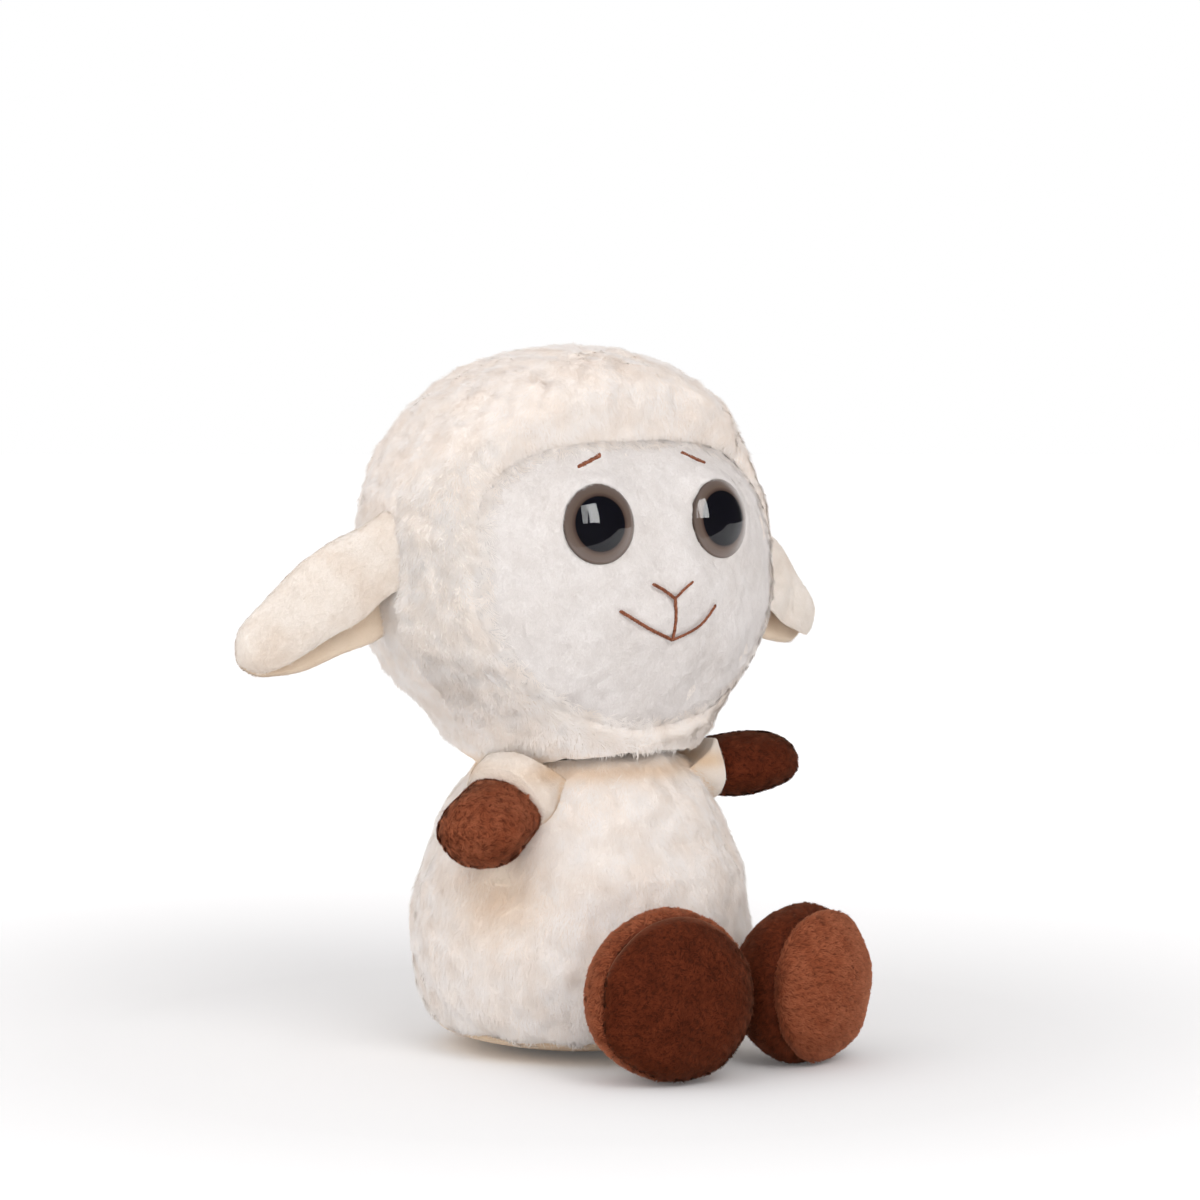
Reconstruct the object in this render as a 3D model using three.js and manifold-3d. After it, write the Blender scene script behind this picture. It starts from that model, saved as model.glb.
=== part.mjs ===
// A sitting plush sheep, about 20 cm tall, in millimetres.
// It faces -Y with +Z up, so its own right side is -X. The origin is the middle of the base
// panel, on the surface that the toy sits on. Its covers are thin sewn shells round pads of
// filling, and the limbs, the ears and the head turn at their seams.
import * as THREE from 'three';
import { mergeVertices } from 'three/addons/utils/BufferGeometryUtils.js';
import Module from 'manifold-3d';

const wasm = await Module();
wasm.setup();

// Clearances
const seamGap = 0.3;          // between two covers sewn edge to edge
const fillGap = 0.4;          // between a cover and the filling inside it
const jointGap = 0.5;         // between two pieces that turn against each other
const overrun = 20;           // how far a cutter runs past what it cuts
const weldTolerance = 0.0001; // vertices closer than this are one

// Head
const headBottom = 79;
const headHeight = 117;
const headHalfWidth = 61.3;
const headHalfDepth = 57;
const headSetBack = 6;        // the head's middle lies this far behind the origin
const headLean = 8;           // degrees; the head leans back, so the chin comes forward
const foreheadReach = 39;     // the head's front is flatter than its back
const foreheadHalfWidth = 110;
const foreheadBlend = 1.2;
const hoodThickness = 5;      // fleece backing and pile together
const headOutlineShares = [
  [0, 0.5], [0.046, 0.6], [0.117, 0.7], [0.188, 0.8], [0.26, 0.91], [0.35, 0.985], [0.46, 1],
  [0.58, 0.995], [0.66, 0.97], [0.737, 0.915], [0.805, 0.833], [0.873, 0.715], [0.94, 0.52],
  [0.982, 0.28], [1, 0],
];

// Face
const faceLean = 5;           // degrees back
const faceHalfWidth = 53;
const faceHalfHeight = 40;
const faceRise = 49;          // from the head's bottom to the face panel's middle
const faceTopPower = 3.3;     // the outline's upper half is nearly square, the lower half round
const faceLowPower = 1.9;
const faceReach = 44;         // how far the face stands in front of the head's middle
const faceRoundRise = 9;      // from the panel's middle up to where it stands out most
const faceRoundHalfWidth = 66;
const faceRoundUp = 46;       // half heights of the face's curve above and below that place
const faceRoundDown = 72;
const faceThickness = 2;
const panelRingShares = [0.36, 0.7, 1];
const hoodRimWidth = 4;       // the hood's edge turns in round the face and meets it
const muzzleRise = 2.5;
const muzzleDrop = 9;         // from the face panel's middle down to the muzzle's
const muzzleHalfWidth = 20;
const muzzleHalfHeight = 17;

// Eyes
const eyeRadius = 11;
const eyeApart = 43;
const eyeRise = 17;           // from the face panel's middle up to the eyes
const eyeSplay = 9;           // degrees outwards
const eyeLift = 2;            // degrees upwards
const eyeSink = 1.6;          // how far the eye's plate lies below the face
const irisRadius = 10.5;
const irisThickness = 0.8;
const lensEdge = 0.9;
const lensRise = 4.6;
const shankRadius = 2.2;
const shankLength = 9;
const washerRadius = 7;
const washerThickness = 1.2;
const washerSetBack = 3.4;    // from the eye's plate to the washer's front

// Embroidery
const threadRadius = 0.5;
const browHalfLength = 3.9;
const browAboveEye = 17.3;
const browApart = 37;
const browDrop = 1.5;         // the outer end lies this much below the middle
const noseHalfWidth = 7;
const noseRise = 0;           // from the face panel's middle up to the top of the nose
const noseDepth = 4.3;
const mouthHalfWidth = 17;
const mouthBelowNose = 6.8;   // from the nose's top down to the corners of the mouth
const mouthDepth = 8.8;
const lipGap = 0.8;           // between the line under the nose and the mouth

// Ears
const earLength = 46.6;
const earDroop = 28;          // degrees below level
const earSweep = 12;          // degrees backwards
const earRootBack = 11;
const earRootRise = 54;       // from the head's bottom to the ears' roots
const earHalfWidth = 15.5;
const earFoldDepth = 5.5;     // half of the folded ear's thickness at its root
const earClothThickness = 1.5;
const earWidthShares = [
  [-0.22, 0.96], [0, 0.98], [0.18, 1], [0.38, 0.93], [0.58, 0.81], [0.75, 0.67], [0.88, 0.54], [0.96, 0.42], [1, 0.28],
];
const earSwing = 20;          // degrees each way

// Neck
const neckPivotHeight = 50;
const neckSeatRadius = 42.2;  // the shoulders and the top of the neck's filling
const neckPlugThickness = 8;
const neckPlugRadius = 23.5;
const headTurn = 25;          // degrees each way
const headNodForward = 4;
const headNodBack = 12;

// Body
const bodyRadius = 48;
const bodyCoverThickness = 4;
const baseSeamHeight = 6;
const baseOpeningRadius = 35; // of the cover's hole that the base panel closes
const baseClothThickness = 1.5;
const shoulderHeight = 60;    // where the body's outline runs into the seat of the neck
// Outline below the shoulder, as shares of the shoulder's height and the body's radius
const bodyOutlineShares = [
  [0, 0.25], [0.035, 0.55], [0.1, 0.83], [0.2, 0.93], [0.36, 0.985], [0.53, 1], [0.7, 0.986],
  [0.86, 0.943],
];
const pelletBagRadius = 30;
const pelletBagTop = 20;

// Arms
const armAzimuth = 70.5;        // degrees from straight ahead
const armRootOut = 24;        // from the toy's middle line to the arm's start
const armRootHeight = 76;
const armLength = 39.5;
const armHalfHeight = 9;
const armHalfWidth = 13.4;
const rightArmSlope = -20;    // degrees; the right arm droops
const leftArmSlope = 1;
const handSeamAt = 17.5;      // from the arm's start to the seam of the hand
const chinMargin = 3;         // left between an arm and the head's underside
const armClothThickness = 1.4;
const handClothThickness = 2;
const armOutlineShares = [
  [0, 0.9], [0.25, 0.93], [0.5, 0.99], [0.7, 1], [0.84, 0.9], [0.94, 0.66], [0.985, 0.36], [1, 0],
];
const armSwingForward = 20;
const armSwingBack = 15;

// Legs and feet
const footApart = 47;         // between the two feet's middles
const footAside = 4.5;        // both feet lie this far towards the toy's left
const footAhead = 59.5;       // from the origin to the feet's middles
const footSplay = 15;         // degrees outwards
const footRadius = 22.7;
const footFlat = 0.5;         // how deep the foot is pressed flat on the floor
const soleSeamAhead = 6.5;    // from the foot's middle to the seam of the sole
const soleRise = 12;          // how far the sole's dome stands out of its seam
const footBack = 11;          // from the foot's middle back to the ankle
const ankleRadius = 14.5;
const legSleeveLength = 14;
const footClothThickness = 2;
const legClothThickness = 1.4;
// Outline from the ankle to the sole's tip: shares of the way to the seam and of the radius
const footUpperShares = [[0, 0.66], [0.1, 0.77], [0.28, 0.88], [0.5, 0.965], [0.72, 1], [1, 0.965]];
const legSwingOut = 15;
const hipAhead = 44;
const hipApart = 34;

// Fineness of the outer faces and of the hidden ones
const outerSides = 26;
const headSteps = 18;
const innerSides = 14;
const limbSides = 18;
const limbInnerSides = 12;
const smallSides = 14;
const threadSides = 6;

const up = new THREE.Vector3(0, 0, 1);
const rad = THREE.MathUtils.degToRad;

// Solids

function signedVolume(position, index) {
  const a = new THREE.Vector3();
  const b = new THREE.Vector3();
  const c = new THREE.Vector3();
  let volume = 0;
  for (let i = 0; i < index.length; i += 3) {
    a.fromArray(position, 3 * index[i]);
    b.fromArray(position, 3 * index[i + 1]);
    c.fromArray(position, 3 * index[i + 2]);
    volume += a.dot(b.cross(c)) / 6;
  }
  return volume;
}

function makeSolid(position, index) {
  const outward = signedVolume(position, index) > 0;
  const triVerts = new Uint32Array(index.length);
  for (let i = 0; i < index.length; i += 3) {
    triVerts[i] = index[i];
    triVerts[i + 1] = outward ? index[i + 1] : index[i + 2];
    triVerts[i + 2] = outward ? index[i + 2] : index[i + 1];
  }
  const vertProperties = new Float32Array(position);
  return new wasm.Manifold(new wasm.Mesh({ numProp: 3, vertProperties, triVerts }));
}

function solidOf(geometry) {
  const bare = geometry.clone();
  for (const name of Object.keys(bare.attributes)) {
    if (name !== 'position') bare.deleteAttribute(name);
  }
  const merged = mergeVertices(bare, weldTolerance);
  const corners = merged.index.array;
  const index = [];
  for (let i = 0; i < corners.length; i += 3) {
    const [a, b, c] = corners.slice(i, i + 3);
    if (a !== b && b !== c && c !== a) index.push(a, b, c);
  }
  return makeSolid(merged.attributes.position.array, index);
}

function geometryOf(solid) {
  const { vertProperties, triVerts } = solid.getMesh();
  const geometry = new THREE.BufferGeometry();
  geometry.setAttribute('position', new THREE.BufferAttribute(new Float32Array(vertProperties), 3));
  geometry.setIndex(new THREE.BufferAttribute(new Uint32Array(triVerts), 1));
  geometry.computeVertexNormals();
  return geometry;
}

// The same solid carried by a matrix, vertex by vertex.
function moved(solid, matrix) {
  const { vertProperties, triVerts } = solid.getMesh();
  const geometry = new THREE.BufferGeometry();
  geometry.setAttribute('position', new THREE.BufferAttribute(new Float32Array(vertProperties), 3));
  geometry.applyMatrix4(matrix);
  return makeSolid(geometry.attributes.position.array, triVerts);
}

// Everything that a solid sweeps as the matrices carry it, taken at those places only.
function swept(solid, matrices) {
  return matrices.map((matrix) => moved(solid, matrix)).reduce((all, next) => all.add(next));
}

function turnAbout(point, axis, degrees) {
  return new THREE.Matrix4()
    .makeTranslation(point.x, point.y, point.z)
    .multiply(new THREE.Matrix4().makeRotationAxis(axis, rad(degrees)))
    .multiply(new THREE.Matrix4().makeTranslation(-point.x, -point.y, -point.z));
}

// Turned forms

// Points of an outline pushed inwards along its normals; the first and last lie on the axis.
function insetOutline(points, inset) {
  return points.map((point, i) => {
    if (i === 0) return new THREE.Vector2(0, point.y + inset);
    if (i === points.length - 1) return new THREE.Vector2(0, point.y - inset);
    const along = points[i + 1].clone().sub(points[i - 1]).normalize();
    return new THREE.Vector2(point.x - along.y * inset, point.y + along.x * inset);
  });
}

function turned(points, sides) {
  return new THREE.LatheGeometry(points, sides).rotateX(Math.PI / 2);
}

function cylinder(radius, low, high, sides = innerSides) {
  const points = [[0, low], [radius, low], [radius, high], [0, high]];
  return solidOf(turned(points.map(([r, z]) => new THREE.Vector2(r, z)), sides));
}

// The upper half of a ball round the neck's pivot, in which the head turns and nods.
function neckDome(radius) {
  const steps = 12;
  const outline = [new THREE.Vector2(0, neckPivotHeight)];
  for (let i = 0; i <= steps; i += 1) {
    const angle = (i / steps) * (Math.PI / 2);
    outline.push(new THREE.Vector2(radius * Math.cos(angle), neckPivotHeight + radius * Math.sin(angle)));
  }
  outline[outline.length - 1].x = 0;
  return solidOf(turned(outline, outerSides));
}

function smooth(shares, steps) {
  return new THREE.SplineCurve(shares.map(([a, b]) => new THREE.Vector2(a, b))).getPoints(steps);
}

// Head

const faceMiddle = headBottom + faceRise;
const faceRoundMiddle = faceMiddle + faceRoundRise;
const muzzleMiddle = faceMiddle - muzzleDrop;
const eyeMiddle = faceMiddle + eyeRise;
const noseTop = faceMiddle + noseRise;
const mouthCorner = noseTop - mouthBelowNose;
const mouthBottom = mouthCorner - mouthDepth;
const headMiddle = new THREE.Vector3(0, headSetBack, headBottom + headHeight / 2);
const neckPivot = new THREE.Vector3(0, 0, neckPivotHeight);
const acrossAxis = new THREE.Vector3(1, 0, 0);
const leanOfHead = turnAbout(headMiddle, acrossAxis, -headLean);
const leanOfFace = turnAbout(headMiddle, acrossAxis, -faceLean);

// The head's outline turned about the toy's upright middle line.
function roundHead(inset, sides, steps) {
  const outline = [new THREE.Vector2(0, headBottom)];
  for (const share of smooth(headOutlineShares, steps)) {
    outline.push(new THREE.Vector2(share.y * headHalfWidth, headBottom + share.x * headHeight));
  }
  return turned(insetOutline(outline, inset), sides);
}

// How far forward a head of some depth reaches once the forehead's flatter round limits it.
function underForehead(depth, x, inset) {
  const across = x / foreheadHalfWidth;
  const limit = foreheadReach * Math.sqrt(1 - across * across) - inset;
  return (depth + limit) / 2 - Math.hypot((depth - limit) / 2, foreheadBlend);
}

function headForm(inset, sides = innerSides, steps = 12) {
  const geometry = roundHead(inset, sides, steps);
  geometry.scale(1, headHalfDepth / headHalfWidth, 1);
  const places = geometry.attributes.position;
  for (let i = 0; i < places.count; i += 1) {
    const depth = -places.getY(i);
    if (depth > 0) places.setY(i, -Math.max(underForehead(depth, places.getX(i), inset), 0));
  }
  geometry.translate(0, headSetBack, 0);
  return solidOf(geometry.applyMatrix4(leanOfHead));
}

// How far forward the face's surface lies at a place across and up.
function faceSurfaceAt(x, z) {
  const across = x / faceRoundHalfWidth;
  const rise = (z - faceRoundMiddle) / (z > faceRoundMiddle ? faceRoundUp : faceRoundDown);
  const round = Math.sqrt(1 - across * across - rise * rise);
  const muzzleAcross = x / muzzleHalfWidth;
  const muzzleUp = (z - muzzleMiddle) / muzzleHalfHeight;
  const bump = Math.exp(-muzzleAcross * muzzleAcross - muzzleUp * muzzleUp);
  return headSetBack - faceReach * round - muzzleRise * bump;
}

// A solid over the face's outline, between two surfaces given as functions of across and up.
// Its rings are those of the face panel, so that all such solids share the panel's facets, and
// one more where it grows wider than the panel.
function faceOval(grow, frontAt, backAt) {
  const sides = outerSides;
  const rings = panelRingShares.map((share) => [share, -seamGap]);
  if (grow > -seamGap) rings.push([1, grow]);
  const position = [];
  const index = [];
  for (const surface of [frontAt, backAt]) {
    position.push(0, surface(0, faceMiddle), faceMiddle);
    for (const [share, margin] of rings) {
      for (let i = 0; i < sides; i += 1) {
        const angle = (i / sides) * Math.PI * 2;
        const power = 2 / (angle < Math.PI ? faceTopPower : faceLowPower);
        const wide = Math.sign(Math.cos(angle)) * Math.abs(Math.cos(angle)) ** power;
        const high = Math.sign(Math.sin(angle)) * Math.abs(Math.sin(angle)) ** power;
        const x = (faceHalfWidth + margin) * share * wide;
        const z = faceMiddle + (faceHalfHeight + margin) * share * high;
        position.push(x, surface(x, z), z);
      }
    }
  }
  const sheet = 1 + rings.length * sides;
  const at = (side, ring, i) => side * sheet + 1 + ring * sides + (i % sides);
  for (let i = 0; i < sides; i += 1) {
    index.push(0, at(0, 0, i), at(0, 0, i + 1));
    index.push(sheet, at(1, 0, i + 1), at(1, 0, i));
    for (let ring = 0; ring + 1 < rings.length; ring += 1) {
      index.push(at(0, ring, i), at(0, ring + 1, i), at(0, ring + 1, i + 1));
      index.push(at(0, ring, i), at(0, ring + 1, i + 1), at(0, ring, i + 1));
      index.push(at(1, ring, i), at(1, ring + 1, i + 1), at(1, ring + 1, i));
      index.push(at(1, ring, i), at(1, ring, i + 1), at(1, ring + 1, i + 1));
    }
    const last = rings.length - 1;
    index.push(at(0, last, i), at(1, last, i), at(1, last, i + 1));
    index.push(at(0, last, i), at(1, last, i + 1), at(0, last, i + 1));
  }
  return makeSolid(new Float32Array(position), index);
}

const farAhead = () => headSetBack - headHalfDepth - overrun;
const headPocket = neckDome(neckSeatRadius + jointGap);

// Pieces of the face are made upright and then lean back with the head.
const leaning = (solid) => moved(solid, leanOfFace);
const faceBack = (x, z) => faceSurfaceAt(x, z) + faceThickness;

// A shell of fleece whose edge runs in from its outer face to the face panel.
function hood() {
  const faceHole = leaning(faceOval(0, farAhead, () => headSetBack));
  const rim = leaning(faceOval(hoodRimWidth, farAhead, faceBack));
  const cavity = headForm(hoodThickness).subtract(rim);
  return headForm(0, outerSides, headSteps).subtract(cavity).subtract(faceHole).subtract(headPocket);
}

function eyeFrame(side) {
  const x = (side * eyeApart) / 2;
  const outward = new THREE.Vector3(
    side * Math.sin(rad(eyeSplay)) * Math.cos(rad(eyeLift)),
    -Math.cos(rad(eyeSplay)) * Math.cos(rad(eyeLift)),
    Math.sin(rad(eyeLift)),
  );
  const across = new THREE.Vector3().crossVectors(up, outward).normalize();
  const upright = new THREE.Vector3().crossVectors(outward, across);
  const place = new THREE.Vector3(x, faceSurfaceAt(x, eyeMiddle), eyeMiddle);
  place.addScaledVector(outward, -eyeSink);
  return new THREE.Matrix4().makeBasis(across, upright, outward).setPosition(place);
}

function eyePart(points, side, sides = smallSides) {
  const outline = points.map(([r, z]) => new THREE.Vector2(r, z));
  return moved(solidOf(turned(outline, sides)), eyeFrame(side));
}

// The space that an eye takes up in the face and in the filling behind it.
function eyeSpace(side) {
  const wide = eyeRadius + seamGap;
  const plate = eyePart([[0, -seamGap], [wide, -seamGap], [wide, overrun], [0, overrun]], side);
  const shaft = shankRadius + seamGap;
  const stem = eyePart([[0, -overrun], [shaft, -overrun], [shaft, 0], [0, 0]], side);
  return plate.add(stem);
}

function washerSpace(side) {
  const wide = washerRadius + fillGap;
  const deep = -shankLength - fillGap;
  return eyePart([[0, deep], [wide, deep], [wide, overrun], [0, overrun]], side);
}

function facePanel() {
  let panel = faceOval(-seamGap, faceSurfaceAt, faceBack);
  for (const side of [-1, 1]) panel = panel.subtract(eyeSpace(side));
  return leaning(panel);
}

function headFilling() {
  const front = (x, z) => faceBack(x, z) + fillGap;
  let space = faceOval(hoodRimWidth + fillGap, farAhead, front);
  for (const side of [-1, 1]) space = space.add(eyeSpace(side)).add(washerSpace(side));
  return headForm(hoodThickness + fillGap).subtract(leaning(space)).subtract(headPocket);
}

function eyeIris(side) {
  return leaning(eyePart([
    [0, -shankLength], [shankRadius, -shankLength], [shankRadius, 0], [irisRadius, 0],
    [irisRadius, irisThickness], [0, irisThickness],
  ], side));
}

function eyeLens(side) {
  const seat = irisThickness + seamGap;
  const rimTop = seat + lensEdge;
  const steps = 6;
  const outline = [[0, seat], [eyeRadius, seat]];
  for (let i = 0; i <= steps; i += 1) {
    const angle = (i / steps) * (Math.PI / 2);
    outline.push([eyeRadius * Math.cos(angle), rimTop + (lensRise - lensEdge) * Math.sin(angle)]);
  }
  outline[outline.length - 1][0] = 0;
  return leaning(eyePart(outline, side, limbSides));
}

function eyeWasher(side) {
  const inner = shankRadius + seamGap;
  const front = -washerSetBack;
  const back = front - washerThickness;
  const outline = [[inner, back], [washerRadius, back], [washerRadius, front], [inner, front], [inner, back]];
  return leaning(eyePart(outline, side));
}

// A thread laid on the face through places given across and up.
function threadOnFace(places, steps) {
  const lift = threadRadius + seamGap;
  const route = new THREE.CatmullRomCurve3(
    places.map(([x, z]) => new THREE.Vector3(x, faceSurfaceAt(x, z) - lift, z)),
  );
  const section = new THREE.Shape();
  for (let i = 0; i < threadSides; i += 1) {
    const angle = (i / threadSides) * Math.PI * 2;
    const x = threadRadius * Math.cos(angle);
    const y = threadRadius * Math.sin(angle);
    if (i === 0) section.moveTo(x, y);
    else section.lineTo(x, y);
  }
  const stitch = new THREE.ExtrudeGeometry(section, { steps, extrudePath: route, bevelEnabled: false });
  return leaning(solidOf(stitch));
}

function brow(side) {
  const middle = (side * browApart) / 2;
  const inner = middle - side * browHalfLength;
  const outer = middle + side * browHalfLength;
  const height = eyeMiddle + browAboveEye;
  return threadOnFace([[inner, height + browDrop], [middle, height], [outer, height - browDrop]], 4);
}

function noseStitch() {
  const point = noseTop - noseDepth;
  const vee = threadOnFace([[-noseHalfWidth, noseTop], [-noseHalfWidth / 2, point + noseDepth / 2], [0, point]], 6)
    .add(threadOnFace([[noseHalfWidth, noseTop], [noseHalfWidth / 2, point + noseDepth / 2], [0, point]], 6));
  const foot = mouthBottom + threadRadius * 2 + lipGap;
  return vee.add(threadOnFace([[0, point + threadRadius / 2], [0, (point + foot) / 2], [0, foot]], 6));
}

function mouthStitch() {
  const half = mouthHalfWidth / 2;
  const dip = mouthBottom + mouthDepth * 0.34;
  return threadOnFace([
    [-mouthHalfWidth, mouthCorner], [-half, dip], [0, mouthBottom], [half, dip], [mouthHalfWidth, mouthCorner],
  ], 12);
}

// Ears

function earFrame(side) {
  const root = earHinge(side);
  const level = new THREE.Vector3(side * Math.cos(rad(earSweep)), Math.sin(rad(earSweep)), 0);
  const along = level.multiplyScalar(Math.cos(rad(earDroop))).addScaledVector(up, -Math.sin(rad(earDroop)));
  const front = new THREE.Vector3().crossVectors(along, up).multiplyScalar(side).normalize();
  const upward = new THREE.Vector3().crossVectors(front, along).multiplyScalar(side);
  return new THREE.Matrix4().makeBasis(along, front, upward).setPosition(root);
}

// One layer of the folded ear: a sheet between two depths below the ear's outer face.
// The front flap hangs from the fold along the top and stops short; the back flap runs on.
const earFoldShares = [[0.95, -0.42], [1.1, 0.05], [1, 0.55], [0.6, 0.88], [0, 1], [-0.6, 0.88], [-1, 0.55], [-1.05, 0], [-0.95, -0.5], [-0.6, -0.95]];

function earLayer(side, outer, inner) {
  const stations = 9;
  const width = smooth(earWidthShares, stations - 1);
  const place = (station, share, depth) => {
    const half = station.y * earHalfWidth;
    const fold = Math.max(earFoldDepth * station.y, earClothThickness * 3);
    const middle = Math.hypot(share[0], share[1]);
    return [fold * share[0] * (1 - depth / fold / middle), half * share[1] * (1 - depth / half / middle)];
  };
  const position = [];
  const index = [];
  const count = earFoldShares.length;
  for (const station of width) {
    for (const share of earFoldShares) {
      const [y, z] = place(station, share, outer);
      position.push(station.x * earLength, y, z);
    }
    for (let i = count - 1; i >= 0; i -= 1) {
      const [y, z] = place(station, earFoldShares[i], inner);
      position.push(station.x * earLength, y, z);
    }
  }
  const ring = 2 * count;
  const last = (width.length - 1) * ring;
  for (let s = 0; s + 1 < width.length; s += 1) {
    for (let i = 0; i < ring; i += 1) {
      const a = s * ring + i;
      const b = s * ring + ((i + 1) % ring);
      index.push(a, b, b + ring, a, b + ring, a + ring);
    }
  }
  for (let i = 0; i + 1 < count; i += 1) {
    const mirror = ring - 1 - i;
    index.push(i, mirror, mirror - 1, i, mirror - 1, i + 1);
    index.push(last + i, last + mirror - 1, last + mirror, last + i, last + i + 1, last + mirror - 1);
  }
  const sheet = makeSolid(new Float32Array(position), index);
  const swings = [-earSwing, 0, earSwing].map((degrees) => turnAbout(earHinge(side), up, degrees));
  const head = headForm(-jointGap, outerSides, headSteps);
  return moved(sheet, earFrame(side)).subtract(swept(head, swings));
}

function earHinge(side) {
  return new THREE.Vector3(side * headHalfWidth, earRootBack, headBottom + earRootRise);
}

// Body

function bodyForm(inset, sides = innerSides) {
  const outline = [new THREE.Vector2(0, 0)];
  for (const share of smooth(bodyOutlineShares, 11)) {
    outline.push(new THREE.Vector2(share.y * bodyRadius, share.x * shoulderHeight));
  }
  const first = Math.asin((shoulderHeight + 2 * seamGap - neckPivotHeight) / neckSeatRadius);
  const steps = 7;
  for (let i = 0; i <= steps; i += 1) {
    const angle = first + ((Math.PI / 2 - first) * i) / steps;
    const height = neckPivotHeight + neckSeatRadius * Math.sin(angle);
    outline.push(new THREE.Vector2(neckSeatRadius * Math.cos(angle), height));
  }
  return solidOf(turned(insetOutline(outline, inset), sides));
}

const bodyWhole = bodyForm(0, outerSides);
const bodyTop = neckPivotHeight + neckSeatRadius;

function bodyCover() {
  const below = cylinder(bodyRadius + overrun, -overrun, baseSeamHeight);
  const baseHole = cylinder(baseOpeningRadius, -overrun, baseSeamHeight + bodyCoverThickness);
  const neckHole = cylinder(neckPlugRadius + jointGap, shoulderHeight, bodyTop + overrun, outerSides);
  const cavity = bodyForm(bodyCoverThickness).add(baseHole).add(neckHole);
  return bodyWhole.subtract(cavity).subtract(below);
}

function basePanel() {
  const dish = cylinder(bodyRadius + overrun, -overrun, baseSeamHeight - seamGap);
  return bodyWhole.subtract(bodyForm(baseClothThickness)).intersect(dish);
}

function neckPlug() {
  const column = cylinder(neckPlugRadius, neckPivotHeight, bodyTop + overrun, outerSides);
  const outer = neckDome(neckSeatRadius);
  const inner = neckDome(neckSeatRadius - neckPlugThickness);
  return column.intersect(outer).subtract(inner);
}

function bodyFilling() {
  const inner = neckDome(neckSeatRadius - neckPlugThickness - jointGap);
  const wide = neckPlugRadius + jointGap;
  const plugSpace = cylinder(wide, neckPivotHeight, bodyTop + overrun, outerSides).subtract(inner);
  const bagSpace = cylinder(pelletBagRadius + fillGap, -overrun, pelletBagTop + fillGap, limbSides);
  return bodyForm(bodyCoverThickness + fillGap).subtract(plugSpace).subtract(bagSpace);
}

// The bag of pellets lies on the base panel and takes its shape.
function pelletBag() {
  const round = cylinder(pelletBagRadius, 0, pelletBagTop, limbSides);
  return bodyForm(baseClothThickness + fillGap, limbSides).intersect(round);
}

// Arms

function armFrame(side) {
  const slope = side < 0 ? rightArmSlope : leftArmSlope;
  const level = new THREE.Vector3(side * Math.sin(rad(armAzimuth)), -Math.cos(rad(armAzimuth)), 0);
  const along = level.clone().multiplyScalar(Math.cos(rad(slope))).addScaledVector(up, Math.sin(rad(slope)));
  const across = new THREE.Vector3().crossVectors(along, up).normalize();
  const upright = new THREE.Vector3().crossVectors(across, along);
  const root = level.multiplyScalar(armRootOut).addScaledVector(up, armRootHeight);
  return new THREE.Matrix4().makeBasis(across, upright, along).setPosition(root);
}

function armForm(inset, sides = limbInnerSides) {
  const outline = [new THREE.Vector2(0, 0)];
  for (const share of smooth(armOutlineShares, 9)) {
    outline.push(new THREE.Vector2(share.y * armHalfHeight, share.x * armLength));
  }
  const geometry = turned(insetOutline(outline, inset), sides);
  const widened = (armHalfWidth - inset) / (armHalfHeight - inset);
  return solidOf(geometry.scale(widened, 1, 1));
}

function armPivot(side) {
  return new THREE.Vector3(
    side * armRootOut * Math.sin(rad(armAzimuth)),
    -armRootOut * Math.cos(rad(armAzimuth)),
    armRootHeight,
  );
}

// What an arm has to stay clear of: the body at each of its swings, and the head's underside.
function armObstacles(side) {
  const swings = [-armSwingBack, -armSwingBack / 2, 0, armSwingForward / 2, armSwingForward]
    .map((degrees) => turnAbout(armPivot(side), up, side * degrees));
  return swept(bodyForm(-jointGap, outerSides), swings).add(solidOf(roundHead(-chinMargin, outerSides, 12)));
}

function armPieces(side) {
  const frame = armFrame(side);
  const clear = armObstacles(side);
  const rootPart = cylinder(armHalfWidth * 2, -overrun, handSeamAt - seamGap / 2);
  const tipPart = cylinder(armHalfWidth * 2, handSeamAt + seamGap / 2, armLength + overrun);
  const whole = armForm(0, limbSides);
  const sleeveInside = armForm(armClothThickness);
  const handInside = armForm(handClothThickness);
  const rootHole = cylinder(armHalfHeight * armOutlineShares[0][1] * 0.8, -overrun, armLength / 2);
  const sleeve = whole.intersect(rootPart).subtract(sleeveInside).subtract(rootHole);
  const hand = whole.intersect(tipPart).subtract(handInside);
  const filling = armForm(handClothThickness + fillGap);
  return [sleeve, hand, filling].map((piece) => moved(piece, frame).subtract(clear));
}

// Legs and feet

function footFrame(side) {
  const along = new THREE.Vector3(side * Math.sin(rad(footSplay)), -Math.cos(rad(footSplay)), 0);
  const across = new THREE.Vector3().crossVectors(along, up).normalize();
  const aside = footAside + (side * footApart) / 2;
  const middle = new THREE.Vector3(aside, -footAhead, footRadius - footFlat);
  return new THREE.Matrix4().makeBasis(across, up, along).setPosition(middle);
}

function footForm(inset, sides = limbInnerSides) {
  const outline = [new THREE.Vector2(0, -footBack - legSleeveLength)];
  outline.push(new THREE.Vector2(ankleRadius * 0.95, -footBack - legSleeveLength));
  outline.push(new THREE.Vector2(ankleRadius, -footBack - legSleeveLength / 2));
  const upperLength = footBack + soleSeamAhead;
  for (const share of smooth(footUpperShares, 8)) {
    outline.push(new THREE.Vector2(share.y * footRadius, -footBack + share.x * upperLength));
  }
  const seamRadius = footRadius * footUpperShares[footUpperShares.length - 1][1];
  const steps = 6;
  for (let i = 1; i <= steps; i += 1) {
    const angle = (i / steps) * (Math.PI / 2);
    outline.push(new THREE.Vector2(seamRadius * Math.cos(angle), soleSeamAhead + soleRise * Math.sin(angle)));
  }
  outline[outline.length - 1].x = 0;
  return solidOf(turned(insetOutline(outline, inset), sides));
}

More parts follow.
